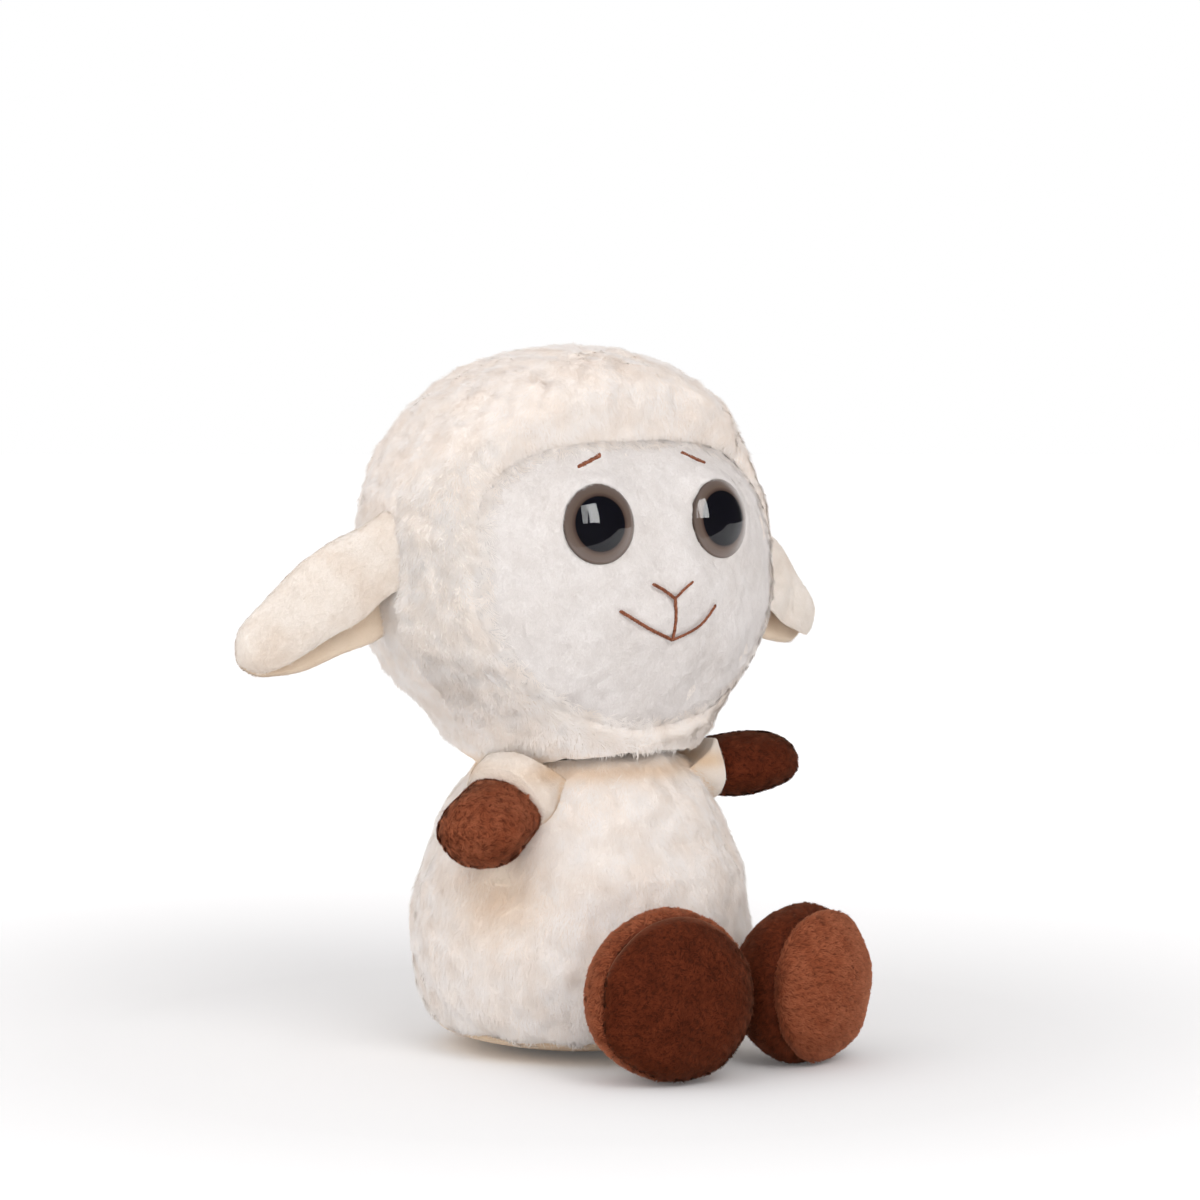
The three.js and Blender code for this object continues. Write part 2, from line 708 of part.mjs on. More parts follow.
function hipPivot(side) {
  return new THREE.Vector3(footAside + (side * hipApart) / 2, -hipAhead, footRadius - footFlat);
}

function legObstacles(side) {
  const swings = [0, legSwingOut / 2, legSwingOut];
  const pivot = hipPivot(side);
  const floor = new THREE.BoxGeometry(overrun * 20, overrun * 20, overrun);
  floor.translate(0, 0, -overrun / 2);
  return swept(bodyForm(-jointGap, outerSides), swings.map((degrees) => turnAbout(pivot, up, -side * degrees)))
    .add(solidOf(floor));
}

function legPieces(side) {
  const frame = footFrame(side);
  const clear = legObstacles(side);
  const wide = footRadius * 2;
  const sleevePart = cylinder(wide, -wide, -footBack - seamGap / 2);
  const upperPart = cylinder(wide, -footBack + seamGap / 2, soleSeamAhead - seamGap / 2);
  const solePart = cylinder(wide, soleSeamAhead + seamGap / 2, wide);
  const whole = footForm(0, outerSides - 6);
  const rootHole = cylinder(ankleRadius * 0.8, -wide, 0);
  const sleeve = whole.intersect(sleevePart).subtract(footForm(legClothThickness)).subtract(rootHole);
  const inside = footForm(footClothThickness);
  const upper = whole.intersect(upperPart).subtract(inside);
  const sole = whole.intersect(solePart).subtract(inside);
  const filling = footForm(footClothThickness + fillGap);
  return [sleeve, upper, sole, filling].map((piece) => moved(piece, frame).subtract(clear));
}

// Materials and nodes

const cloth = (color, roughness) => new THREE.MeshStandardMaterial({ color, roughness, metalness: 0 });
const fleece = cloth(0xeee4da, 1);
const facePile = cloth(0xe8e5e0, 0.95);
const smoothPile = cloth(0xf0e8dc, 0.95);
const brownPile = cloth(0x6b3524, 0.9);
const thread = cloth(0x7a4530, 0.7);
const filler = cloth(0xf4f4f2, 1);
const bagCloth = cloth(0xd8d4cc, 0.9);
const clearPlastic = new THREE.MeshStandardMaterial({
  color: 0xffffff, roughness: 0.05, metalness: 0, transparent: true, opacity: 0.3,
});
const irisPlastic = cloth(0x96826f, 0.3);
const washerPlastic = cloth(0xf0f0ee, 0.4);

const sheep = new THREE.Group();

function addTo(group, name, solid, material) {
  const mesh = new THREE.Mesh(geometryOf(solid), material);
  mesh.name = name;
  group.add(mesh);
}

function addHead() {
  const head = new THREE.Group();
  addTo(head, 'head_hood', hood(), fleece);
  addTo(head, 'face_panel', facePanel(), facePile);
  addTo(head, 'head_filling', headFilling(), filler);
  addTo(head, 'nose_stitch', noseStitch(), thread);
  addTo(head, 'mouth_stitch', mouthStitch(), thread);
  for (const [name, side] of [['right', -1], ['left', 1]]) {
    addTo(head, `${name}_brow_stitch`, brow(side), thread);
    addTo(head, `${name}_eye_iris`, eyeIris(side), irisPlastic);
    addTo(head, `${name}_eye_lens`, eyeLens(side), clearPlastic);
    addTo(head, `${name}_eye_washer`, eyeWasher(side), washerPlastic);
    addTo(head, `${name}_ear_outer`, earLayer(side, 0, earClothThickness), smoothPile);
    addTo(head, `${name}_ear_lining`, earLayer(side, earClothThickness + seamGap, 2 * earClothThickness), smoothPile);
  }
  return head;
}

function addBody() {
  const body = new THREE.Group();
  addTo(body, 'body_cover', bodyCover(), fleece);
  addTo(body, 'base_panel', basePanel(), smoothPile);
  addTo(body, 'body_filling', bodyFilling(), filler);
  addTo(body, 'pellet_bag', pelletBag(), bagCloth);
  addTo(body, 'neck_filling', neckPlug(), filler);
  return body;
}

function addLimbs() {
  const limbs = new THREE.Group();
  for (const [name, side] of [['right', -1], ['left', 1]]) {
    const [sleeve, hand, armFill] = armPieces(side);
    addTo(limbs, `${name}_arm_sleeve`, sleeve, smoothPile);
    addTo(limbs, `${name}_hand`, hand, brownPile);
    addTo(limbs, `${name}_arm_filling`, armFill, filler);
    const [legSleeve, upper, sole, legFill] = legPieces(side);
    addTo(limbs, `${name}_leg_sleeve`, legSleeve, smoothPile);
    addTo(limbs, `${name}_foot_upper`, upper, brownPile);
    addTo(limbs, `${name}_foot_sole`, sole, brownPile);
    addTo(limbs, `${name}_leg_filling`, legFill, filler);
  }
  return limbs;
}

sheep.add(addHead(), addBody(), addLimbs());

export default sheep;
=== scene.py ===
# A sitting plush sheep. Lengths are in metres; the face looks along -Y and +Z is up.
import math

import bpy
import numpy as np
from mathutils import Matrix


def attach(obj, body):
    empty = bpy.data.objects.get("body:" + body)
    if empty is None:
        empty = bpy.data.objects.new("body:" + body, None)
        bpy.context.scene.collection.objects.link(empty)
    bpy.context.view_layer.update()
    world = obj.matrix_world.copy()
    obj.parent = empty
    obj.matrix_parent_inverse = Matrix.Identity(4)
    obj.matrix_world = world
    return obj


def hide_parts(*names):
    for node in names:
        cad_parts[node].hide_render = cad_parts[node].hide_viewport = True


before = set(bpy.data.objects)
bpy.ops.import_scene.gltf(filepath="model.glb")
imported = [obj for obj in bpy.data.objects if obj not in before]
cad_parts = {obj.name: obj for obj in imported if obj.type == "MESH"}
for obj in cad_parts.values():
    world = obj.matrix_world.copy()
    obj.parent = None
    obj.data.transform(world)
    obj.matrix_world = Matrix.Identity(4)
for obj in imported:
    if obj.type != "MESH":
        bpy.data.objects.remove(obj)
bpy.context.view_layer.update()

TURN = 2 * math.pi
UP = np.array([0.0, 0.0, 1.0])
ACROSS = np.array([1.0, 0.0, 0.0])
SIDES = {"right": -1, "left": 1}

# Head: the same outline as the frame's hood
HEAD_BOTTOM = 0.079
HEAD_HEIGHT = 0.117
HEAD_HALF_WIDTH = 0.0613
HEAD_HALF_DEPTH = 0.057
HEAD_SET_BACK = 0.006
HEAD_LEAN = math.radians(8)
FOREHEAD_REACH = 0.039
FOREHEAD_HALF_WIDTH = 0.110
FOREHEAD_BLEND = 0.0012
HEAD_SHARES = [
    (0, 0.5), (0.046, 0.6), (0.117, 0.7), (0.188, 0.8), (0.26, 0.91), (0.35, 0.985), (0.46, 1),
    (0.58, 0.995), (0.66, 0.97), (0.737, 0.915), (0.805, 0.833), (0.873, 0.715), (0.94, 0.52),
    (0.982, 0.28), (1, 0),
]
CROWN_RISE = 0.0012
PILE_DEPTH = 0.0013       # the fleece's backing lies this far inside the outer form
BODY_PILE_DEPTH = 0.0008

# Face
FACE_LEAN = math.radians(5)
FACE_HALF_WIDTH = 0.053
FACE_HALF_HEIGHT = 0.040
FACE_MIDDLE = HEAD_BOTTOM + 0.049
FACE_TOP_POWER = 3.3
FACE_LOW_POWER = 1.9
FACE_REACH = 0.044
FACE_ROUND_MIDDLE = FACE_MIDDLE + 0.009
FACE_ROUND_HALF_WIDTH = 0.066
FACE_ROUND_UP = 0.046
FACE_ROUND_DOWN = 0.072
MUZZLE_RISE = 0.0025
MUZZLE_MIDDLE = FACE_MIDDLE - 0.009
MUZZLE_HALF_WIDTH = 0.020
MUZZLE_HALF_HEIGHT = 0.017

# Eyes
EYE_RADIUS = 0.011
EYE_APART = 0.043
EYE_MIDDLE = FACE_MIDDLE + 0.017
EYE_SPLAY = math.radians(9)
EYE_LIFT = math.radians(2)
EYE_SINK = 0.0016
EYE_COLLAR = 0.0006       # how far up the lens's edge the cloth comes
LENS_SEAT = 0.0011
LENS_EDGE = 0.0009
LENS_DOME = 0.0042
IRIS_RADIUS = 0.0107
IRIS_TOP = 0.0015
PUPIL_RADIUS = 0.0071

# Embroidery
THREAD_RADIUS = 0.00042
STITCH_CLEAR = 0.0008
STITCH_LENGTH = 0.0024
PLY_PITCH = 0.0015
SATIN_HALF_WIDTH = 0.0007
BROW_APART = 0.037
BROW_HALF_LENGTH = 0.0039
BROW_HEIGHT = EYE_MIDDLE + 0.0173
BROW_DROP = 0.0015
NOSE_HALF_WIDTH = 0.007
NOSE_TOP = FACE_MIDDLE
NOSE_DEPTH = 0.0043
MOUTH_HALF_WIDTH = 0.017
MOUTH_CORNER = NOSE_TOP - 0.0068
MOUTH_BOTTOM = MOUTH_CORNER - 0.0088

# Ears
EAR_LENGTH = 0.0466
EAR_DROOP = math.radians(28)
EAR_SWEEP = math.radians(12)
EAR_ROOT = (HEAD_HALF_WIDTH, 0.011, HEAD_BOTTOM + 0.054)
EAR_HALF_WIDTH = 0.0155
EAR_FOLD_DEPTH = 0.0055
EAR_THICKNESS = 0.003
EAR_TIP_SHARE = 0.01
EAR_WIDTH_SHARES = [
    (-0.22, 0.96), (0, 0.98), (0.18, 1), (0.38, 0.93), (0.58, 0.81), (0.75, 0.67), (0.88, 0.54), (0.96, 0.42), (1, 0.28),
]
EAR_FOLD_SHARES = [
    (0.95, -0.42), (1.1, 0.05), (1, 0.55), (0.6, 0.88), (0, 1), (-0.6, 0.88), (-1, 0.55), (-1.05, 0),
    (-0.95, -0.5), (-0.6, -0.95),
]

# Body
BODY_RADIUS = 0.048
SHOULDER_HEIGHT = 0.060
NECK_HEIGHT = 0.050
NECK_SEAT_RADIUS = 0.0422
BASE_SEAM_HEIGHT = 0.006
HOLLOW = (-0.0452, -0.0160, 0.0500)
HOLLOW_RADIUS = 0.0125
HOLLOW_DEPTH = 0.0042
# how strongly the hollow under the hand is painted with shade; the depth above is a real dent
HOLLOW_PAINTED_SHADE = 1.0
BODY_SHARES = [
    (0, 0.25), (0.035, 0.55), (0.1, 0.83), (0.2, 0.93), (0.36, 0.985), (0.53, 1), (0.7, 0.986), (0.86, 0.943),
]

# Arms
ARM_AZIMUTH = math.radians(70.5)
ARM_ROOT_OUT = 0.024
ARM_ROOT_HEIGHT = 0.076
ARM_LENGTH = 0.0395
ARM_HALF_HEIGHT = 0.009
ARM_HALF_WIDTH = 0.0134
ARM_SLOPE = {"right": math.radians(-20), "left": math.radians(1)}
VISIBLE_HAND_SEAM = {"right": 0.0168, "left": 0.0145}
SLEEVE_CROWN = {"right": 0.0056, "left": 0.0006}
HAND_FULLNESS = {"right": 1.18, "left": 1.0}
HAND_LIFT = {"right": 0.0, "left": 0.0008}
ARM_SHARES = [
    (0, 0.9), (0.25, 0.93), (0.5, 0.99), (0.7, 1), (0.84, 0.9), (0.94, 0.66), (0.985, 0.36), (1, 0),
]

# Feet
FOOT_APART = 0.047
FOOT_ASIDE = 0.0045
FOOT_AHEAD = 0.0595
FOOT_SPLAY = math.radians(15)
FOOT_RADIUS = 0.0227
FOOT_FLAT = 0.0005
SOLE_SEAM = 0.0065
SOLE_RISE = 0.012
FOOT_BACK = 0.011
ANKLE_RADIUS = 0.0145
FOOT_STOUT = {"right": 0.0003, "left": -0.0010}   # cloth over the frame's foot, less the nap
FOOT_LIFT = {"right": 0.0012, "left": -0.0005}
LEG_LENGTH = 0.014
FOOT_SHARES = [(0, 0.66), (0.1, 0.77), (0.28, 0.88), (0.5, 0.965), (0.72, 1), (1, 0.965)]

# Camera
TARGET = (0.0041, -0.0033, 0.125)
CAMERA_AZIMUTH = math.radians(-39)
CAMERA_ELEVATION = math.radians(4.3)
CAMERA_DISTANCE = 1.2
LENS_LENGTH = 128.6

# Light
KEY_POWER = 4.6
FILL_POWER = 3.0
WORLD_STRENGTH = 1.06
WORLD_LOW = (0.93, 0.895, 0.865, 1)
WORLD_HIGH = (0.72, 0.715, 0.73, 1)
WORLD_FAR_SHADE = (0.57, 0.56, 0.55, 1)
ROOM_DARKNESS = 0.9       # how far the room's light is missing from reflections
FLOOR_GLOW = 0.42
FLOOR_GLOW_NEAR = 0.14      # the share of the glow close to the toy
TABLE_FRONT = 0.25

WHITE = (1, 1, 1, 1)
# Painted shade: cloth colour is multiplied by this tint where shade falls in creases; the neck crease's painted
# shade lies at the radius and height below
CREASE_SHADE = (0.88, 0.74, 0.58, 1)
NECK_CREASE_RADIUS = 0.034
NECK_CREASE_HEIGHT = 0.0800

STRAND_SHARE = 1.0


# Fields and curves

def ripple(points, wavelength, seed, waves=14):
    """A smooth uneven field of unit spread that changes over about one wavelength."""
    chance = np.random.default_rng(seed)
    way = chance.normal(size=(waves, 3))
    way /= np.linalg.norm(way, axis=1)[:, None]
    way *= chance.uniform(0.7, 1.4, waves)[:, None]
    phase = chance.uniform(0, TURN, waves)
    field = np.zeros(points.shape[:-1])
    for w, p in zip(way, phase):
        field += np.cos(points @ w * (TURN / wavelength) + p)
    return field / math.sqrt(waves / 2)


def ripple_vector(points, wavelength, seed):
    return np.stack([ripple(points, wavelength, seed + k) for k in range(3)], -1)


def smooth_step(low, high, value):
    t = np.clip((value - low) / (high - low), 0, 1)
    return t * t * (3 - 2 * t)


def unit(vectors):
    return vectors / np.maximum(np.linalg.norm(vectors, axis=-1, keepdims=True), 1e-12)


def curve_through(points, count):
    """Evenly numbered places on a smooth curve through the points."""
    points = np.array(points, float)
    last = len(points) - 1
    place = np.linspace(0, last, count)
    i = np.minimum(place.astype(int), last - 1)
    t = (place - i)[:, None]
    a = points[np.maximum(i - 1, 0)]
    b = points[i]
    c = points[i + 1]
    d = points[np.minimum(i + 2, last)]
    return 0.5 * (2 * b + (c - a) * t + (2 * a - 5 * b + 4 * c - d) * t ** 2 + (3 * b - a - 3 * c + d) * t ** 3)


def turned_about(points, middle, axis, angle):
    """Points turned about an axis through a middle, by the right-hand rule."""
    axis = np.array(axis, float)
    away = points - np.array(middle, float)
    along = (away @ axis)[..., None] * axis
    side = np.cross(np.broadcast_to(axis, away.shape), away)
    return np.array(middle) + along + (away - along) * math.cos(angle) + side * math.sin(angle)


# Meshes

def add_object(name, points, faces, smooth=True):
    mesh = bpy.data.meshes.new(name)
    mesh.from_pydata(points.reshape(-1, 3).tolist(), [], faces)
    mesh.polygons.foreach_set("use_smooth", [smooth] * len(mesh.polygons))
    mesh.update()
    piece = bpy.data.objects.new(name, mesh)
    bpy.context.collection.objects.link(piece)
    return piece


def grid_faces(rings, sides, capped=True):
    """Quads of a closed tube of rings, with a cap at each end."""
    faces = []
    for r in range(rings - 1):
        for s in range(sides):
            t = (s + 1) % sides
            faces.append((r * sides + s, r * sides + t, (r + 1) * sides + t, (r + 1) * sides + s))
    if capped:
        faces.append(tuple(reversed(range(sides))))
        faces.append(tuple(range((rings - 1) * sides, rings * sides)))
    return faces


def lathe(outline, sides):
    """Rings of points round +Z from an outline of (radius, height)."""
    angle = np.arange(sides) * TURN / sides
    outline = np.array(outline, float)
    points = np.empty((len(outline), sides, 3))
    points[..., 0] = outline[:, :1] * np.cos(angle)
    points[..., 1] = outline[:, :1] * np.sin(angle)
    points[..., 2] = outline[:, 1:]
    return points


def placed(points, across, upward, along, origin):
    """Points of a part's own X, Y and Z carried to three directions and an origin."""
    return points @ np.array([across, upward, along]) + np.array(origin)


def normals_of(piece):
    normals = np.empty(len(piece.data.vertices) * 3)
    piece.data.vertices.foreach_get("normal", normals)
    return normals.reshape(-1, 3)


def points_of(piece):
    points = np.empty(len(piece.data.vertices) * 3)
    piece.data.vertices.foreach_get("co", points)
    return points.reshape(-1, 3)


def push_out(piece, amounts):
    """Moves each vertex along its normal."""
    points = points_of(piece) + normals_of(piece) * np.asarray(amounts)[:, None]
    piece.data.vertices.foreach_set("co", points.ravel())
    piece.data.update()


def turn_outwards(piece):
    """Turns the faces of a closed form so that they face out of it."""
    mesh = piece.data
    mesh.calc_loop_triangles()
    corners = np.empty(len(mesh.loop_triangles) * 3, np.int32)
    mesh.loop_triangles.foreach_get("vertices", corners)
    a, b, c = (points_of(piece)[corners.reshape(-1, 3)[:, k]] for k in range(3))
    if np.sum(a * np.cross(b, c)) < 0:
        mesh.flip_normals()
        mesh.update()


def clamp_to_floor(points, lowest=0.0002):
    points[..., 2] = np.maximum(points[..., 2], lowest)
    return points


def pile(name, base, count, length, width, lean, comb, seed, bent=False, tangle=0.3, tuft=0.003, keep=None,
         droop=0.2, dense=False, lit=None):
    """Strands of pile over a base, each a narrow blade that faces outwards; bent ones have a middle and a tip.

    comb gives the way that the pile lies; keep gives the chance that a strand grows at a place;
    lit gives a way that the strands' shading leans to.
    """
    chance = np.random.default_rng(seed)
    mesh = base.data
    mesh.calc_loop_triangles()
    corners = np.empty(len(mesh.loop_triangles) * 3, np.int32)
    mesh.loop_triangles.foreach_get("vertices", corners)
    corners = corners.reshape(-1, 3)
    points = points_of(base)
    normals = normals_of(base)
    a, b, c = (points[corners[:, k]] for k in range(3))
    weight = np.linalg.norm(np.cross(b - a, c - a), axis=1)
    if keep is not None:
        weight = weight * keep((a + b + c) / 3)
    count = int(count * STRAND_SHARE)
    chosen = np.searchsorted(np.cumsum(weight), chance.uniform(0, weight.sum(), count))
    chosen = np.minimum(chosen, len(weight) - 1)
    u = np.sqrt(chance.uniform(size=count))
    v = chance.uniform(size=count)
    share = np.stack([1 - u, u * (1 - v), u * v], 1)
    root = np.einsum("ij,ijk->ik", share, points[corners[chosen]])
    normal = unit(np.einsum("ij,ijk->ik", share, normals[corners[chosen]]))
    lie = comb(root)
    lie = unit(lie - normal * np.sum(lie * normal, 1)[:, None])
    wander = ripple_vector(root, tuft, seed) * tangle + chance.normal(size=(count, 3)) * 0.15
    wander -= normal * np.sum(wander * normal, 1)[:, None]
    way = unit(normal * math.cos(lean) + unit(lie + wander) * math.sin(lean))
    long = length * chance.uniform(0.6, 1.0, count) * (1 + 0.15 * ripple(root, tuft * 1.7, seed + 7))
    half = (width / 2) * chance.uniform(0.8, 1.2, count)
    shading = unit(normal + wander * 0.12 + (0 if lit is None else lit(root)))
    flat = unit(np.cross(way, normal) + 1e-6)
    flat *= (half * np.where(np.sum(np.cross(flat, way) * shading, 1) < 0, -1, 1))[:, None]
    if bent:
        middle = root + way * (long * 0.5)[:, None]
        bend = unit(way + (lie + wander * 0.6) * 0.4 - UP * droop)
        tip = middle + bend * (long * 0.5)[:, None]
        blade = np.stack([root - flat, root + flat, middle + flat * 0.8, middle - flat * 0.8, tip], 1)
        order, starts_in, reach = [0, 1, 2, 3, 3, 2, 4], [0, 4], [0, 0, 0.5, 0.5, 1]
    else:
        tip = root + way * long[:, None] - UP * (long * droop * 0.3)[:, None]
        blade = np.stack([root - flat, root + flat, tip], 1)
        order, starts_in, reach = [0, 1, 2], [0], [0, 0, 1]
    clamp_to_floor(blade)
    many = blade.shape[1]
    loops = (np.arange(count)[:, None] * many + np.array(order)).astype(np.int32).ravel()
    starts = (np.arange(count)[:, None] * len(order) + np.array(starts_in)).astype(np.int32).ravel()
    made = bpy.data.meshes.new(name)
    made.vertices.add(count * many)
    made.vertices.foreach_set("co", blade.astype(np.float32).ravel())
    made.loops.add(len(loops))
    made.loops.foreach_set("vertex_index", loops)
    made.polygons.add(len(starts))
    made.polygons.foreach_set("loop_start", starts)
    made.polygons.foreach_set("use_smooth", [True] * len(starts))
    made.update(calc_edges=True)
    soften(made, np.repeat(shading, many, axis=0))
    keep_value(made, "tip", np.tile(reach, count))
    # painted shade of the neck crease and the hollow, carried onto the strands
    keep_value(made, "painted_shade", np.repeat(painted_shade_share(root), many))
    piece = bpy.data.objects.new(name, made)
    bpy.context.collection.objects.link(piece)
    piece.visible_shadow = dense
    return piece


def soften(mesh, normals):
    """Shades strands with the normals of the surface that they grow from."""
    store = mesh.attributes.new("custom_normal", "FLOAT_VECTOR", "POINT")
    store.data.foreach_set("vector", normals.astype(np.float32).ravel())


def keep_value(mesh, name, values):
    """Stores a value on each point for the materials to read."""
    store = mesh.attributes.new(name, "FLOAT", "POINT")
    store.data.foreach_set("value", np.asarray(values, np.float32))


def in_hollow(points):
    """1 in the middle of the hollow under the right hand, less round it; it sets both the real dent and its
    painted shade.
    """
    return np.exp(-np.sum(((points - np.array(HOLLOW)) / HOLLOW_RADIUS) ** 2, 1))


def painted_shade_share(points):
    """How much painted shade a place takes, 0 to 1: shade painted into the neck's crease and the hollow under the
    hand.
    """
    reach = np.hypot(points[:, 0], points[:, 1])
    up = points[:, 2] - NECK_CREASE_HEIGHT
    crease = np.exp(-((reach - NECK_CREASE_RADIUS) / 0.009) ** 2 - (up / 0.0024) ** 2)
    return np.maximum(crease, HOLLOW_PAINTED_SHADE * in_hollow(points))


# Materials

def node_set(name):
    material = bpy.data.materials.new(name)
    material.use_nodes = True
    tree = material.node_tree
    shader = tree.nodes["Principled BSDF"]
    return material, tree, shader


def colour(red, green, blue):
    """A colour as it looks on a screen, 0 to 255, as linear shares."""
    linear = []
    for value in (red, green, blue):
        v = value / 255
        linear.append(v / 12.92 if v <= 0.04045 else ((v + 0.055) / 1.055) ** 2.4)
    return (*linear, 1.0)


def noise(tree, scale, detail=3.0, stretch=(1, 1, 1)):
    place = tree.nodes.new("ShaderNodeTexCoord")
    spread = tree.nodes.new("ShaderNodeMapping")
    spread.inputs["Scale"].default_value = stretch
    pattern = tree.nodes.new("ShaderNodeTexNoise")
    pattern.inputs["Scale"].default_value = scale
    pattern.inputs["Detail"].default_value = detail
    tree.links.new(place.outputs["Object"], spread.inputs["Vector"])
    tree.links.new(spread.outputs["Vector"], pattern.inputs["Vector"])
    return pattern.outputs["Fac"]


def ramp(tree, value, stops):
    node = tree.nodes.new("ShaderNodeValToRGB")
    node.color_ramp.elements[0].position = stops[0][0]
    node.color_ramp.elements[0].color = stops[0][1]
    node.color_ramp.elements[1].position = stops[-1][0]
    node.color_ramp.elements[1].color = stops[-1][1]
    for place, tint in stops[1:-1]:
        node.color_ramp.elements.new(place).color = tint
    tree.links.new(value, node.inputs["Fac"])
    return node.outputs["Color"]


def mixed(tree, share, first, second, way="MIX"):
    node = tree.nodes.new("ShaderNodeMix")
    node.data_type = "RGBA"
    node.blend_type = way
    for socket, value in (("Factor", share), ("A", first), ("B", second)):
        place = next(i for i in node.inputs if i.name == socket and i.type in ("VALUE", "RGBA") and i.enabled)
        if isinstance(value, (tuple, float)):
            place.default_value = value
        else:
            tree.links.new(value, place)
    return next(o for o in node.outputs if o.enabled)


def stored(tree, name):
    """A value that a mesh keeps on its points."""
    node = tree.nodes.new("ShaderNodeAttribute")
    node.attribute_name = name
    return node.outputs["Fac"]


def raised(tree, shader, height, distance, strength=1.0):
    node = tree.nodes.new("ShaderNodeBump")
    node.inputs["Distance"].default_value = distance
    node.inputs["Strength"].default_value = strength
    tree.links.new(height, node.inputs["Height"])
    tree.links.new(node.outputs["Normal"], shader.inputs["Normal"])


def cloth(name, dark, light, patch_scale, grain_scale, grain_depth, sheen, roughness=0.95, strands=False,
          root=(0.98, 0.965, 0.95, 1), uneven=0.97, sheen_tint=(1, 1, 1, 1)):
    """Plush: patches of two tints, a fine grain and a soft sheen, with painted shade in creases.

    On strands each one differs a little and is darker at its root, a painted shade deep in the pile.
    """
    material, tree, shader = node_set(name)
    patches = noise(tree, patch_scale, 4.0)
    tint = ramp(tree, patches, [(0.35, dark), (0.62, light)])
    if strands:
        island = tree.nodes.new("ShaderNodeNewGeometry").outputs["Random Per Island"]
        shade = ramp(tree, island, [(0.0, (uneven, uneven, uneven, 1)), (1.0, WHITE)])
        tint = mixed(tree, 1.0, tint, shade, "MULTIPLY")
        # painted shade: strands darken towards the root, for the shade inside the pile
        depth = ramp(tree, stored(tree, "tip"), [(0.0, root), (0.8, WHITE)])
        tint = mixed(tree, 1.0, tint, depth, "MULTIPLY")
    else:
        raised(tree, shader, noise(tree, grain_scale, 2.0), grain_depth)
    # painted shade: the tint darkened and warmed by the share of crease shade that the mesh stores
    painted_shade = mixed(tree, 1.0, tint, CREASE_SHADE, "MULTIPLY")
    tint = mixed(tree, stored(tree, "painted_shade"), tint, painted_shade)
    tree.links.new(tint, shader.inputs["Base Color"])
    shader.inputs["Roughness"].default_value = roughness
    shader.inputs["Specular IOR Level"].default_value = 0.05
    shader.inputs["Sheen Weight"].default_value = sheen
    shader.inputs["Sheen Roughness"].default_value = 0.5
    shader.inputs["Sheen Tint"].default_value = sheen_tint
    return material


def plastic(name, dark, light, smooth, rough, transmission=0.0, ior=1.49):
    """Moulded plastic: two close tints and a polish that varies a little."""
    material, tree, shader = node_set(name)
    patches = noise(tree, 300, 2.0)
    tree.links.new(ramp(tree, patches, [(0.3, dark), (0.7, light)]), shader.inputs["Base Color"])
    polish = ramp(tree, patches, [(0.3, (smooth, smooth, smooth, 1)), (0.7, (rough, rough, rough, 1))])
    tree.links.new(polish, shader.inputs["Roughness"])
    shader.inputs["Transmission Weight"].default_value = transmission
    shader.inputs["IOR"].default_value = ior
    return material


def iris_paint(side):
    """A black pupil in a taupe ring that is darker towards both its edges."""
    material, tree, shader = node_set(f"iris_paint_{side}")
    place = tree.nodes.new("ShaderNodeTexCoord")
    length = tree.nodes.new("ShaderNodeVectorMath")
    length.operation = "DISTANCE"
    length.inputs[1].default_value = tuple(eye_origin(SIDES[side], IRIS_TOP))
    tree.links.new(place.outputs["Object"], length.inputs[0])
    share = tree.nodes.new("ShaderNodeMath")
    share.operation = "DIVIDE"
    share.inputs[1].default_value = IRIS_RADIUS
    tree.links.new(length.outputs["Value"], share.inputs[0])
    edge = PUPIL_RADIUS / IRIS_RADIUS
    tint = ramp(tree, share.outputs["Value"], [
        (edge - 0.02, colour(16, 16, 28)), (edge + 0.01, colour(112, 90, 80)),
        (edge + 0.1, colour(150, 129, 117)), (0.93, colour(162, 143, 133)), (1.0, colour(104, 84, 74)),
    ])
    tree.links.new(tint, shader.inputs["Base Color"])
    shader.inputs["Roughness"].default_value = 0.5
    shader.inputs["Specular IOR Level"].default_value = 0.0
    return material


CREAM_DARK = colour(250, 242, 235)
CREAM_LIGHT = colour(255, 251, 248)
# painted shade at the roots of the brown nap
BROWN_ROOT_SHADE = (0.42, 0.36, 0.33, 1)
BROWN_SHEEN = (1.0, 0.5, 0.3, 1)
fleece_back = cloth("fleece_back", colour(248, 238, 229), colour(252, 246, 240), 60, 1200, 0.0003, 0.2)
fleece_pile = cloth("fleece_pile", CREAM_DARK, CREAM_LIGHT, 130, 0, 0, 0.2, strands=True)
# Painted shade: the lining is a darker, warmer copy of the cream cloth, for the shade inside the ear's fold
lining_shaded_cloth = cloth("lining_shaded_cloth", colour(226, 204, 180), colour(234, 216, 195), 60, 1500, 0.0002, 0.2)
face_cloth = cloth("face_cloth", colour(233, 228, 225), colour(239, 235, 233), 70, 1500, 0.0003, 0.2)
face_nap = cloth("face_nap", colour(233, 228, 225), colour(239, 235, 233), 70, 0, 0, 0.2, strands=True,
                 root=(0.97, 0.965, 0.96, 1), uneven=0.97)
cream_cloth = cloth("cream_cloth", colour(239, 227, 215), colour(245, 237, 229), 60, 1500, 0.0003, 0.2)
cream_nap = cloth("cream_nap", colour(240, 229, 218), colour(246, 239, 231), 60, 0, 0, 0.2, strands=True,
                  root=(0.97, 0.955, 0.94, 1), uneven=0.97)
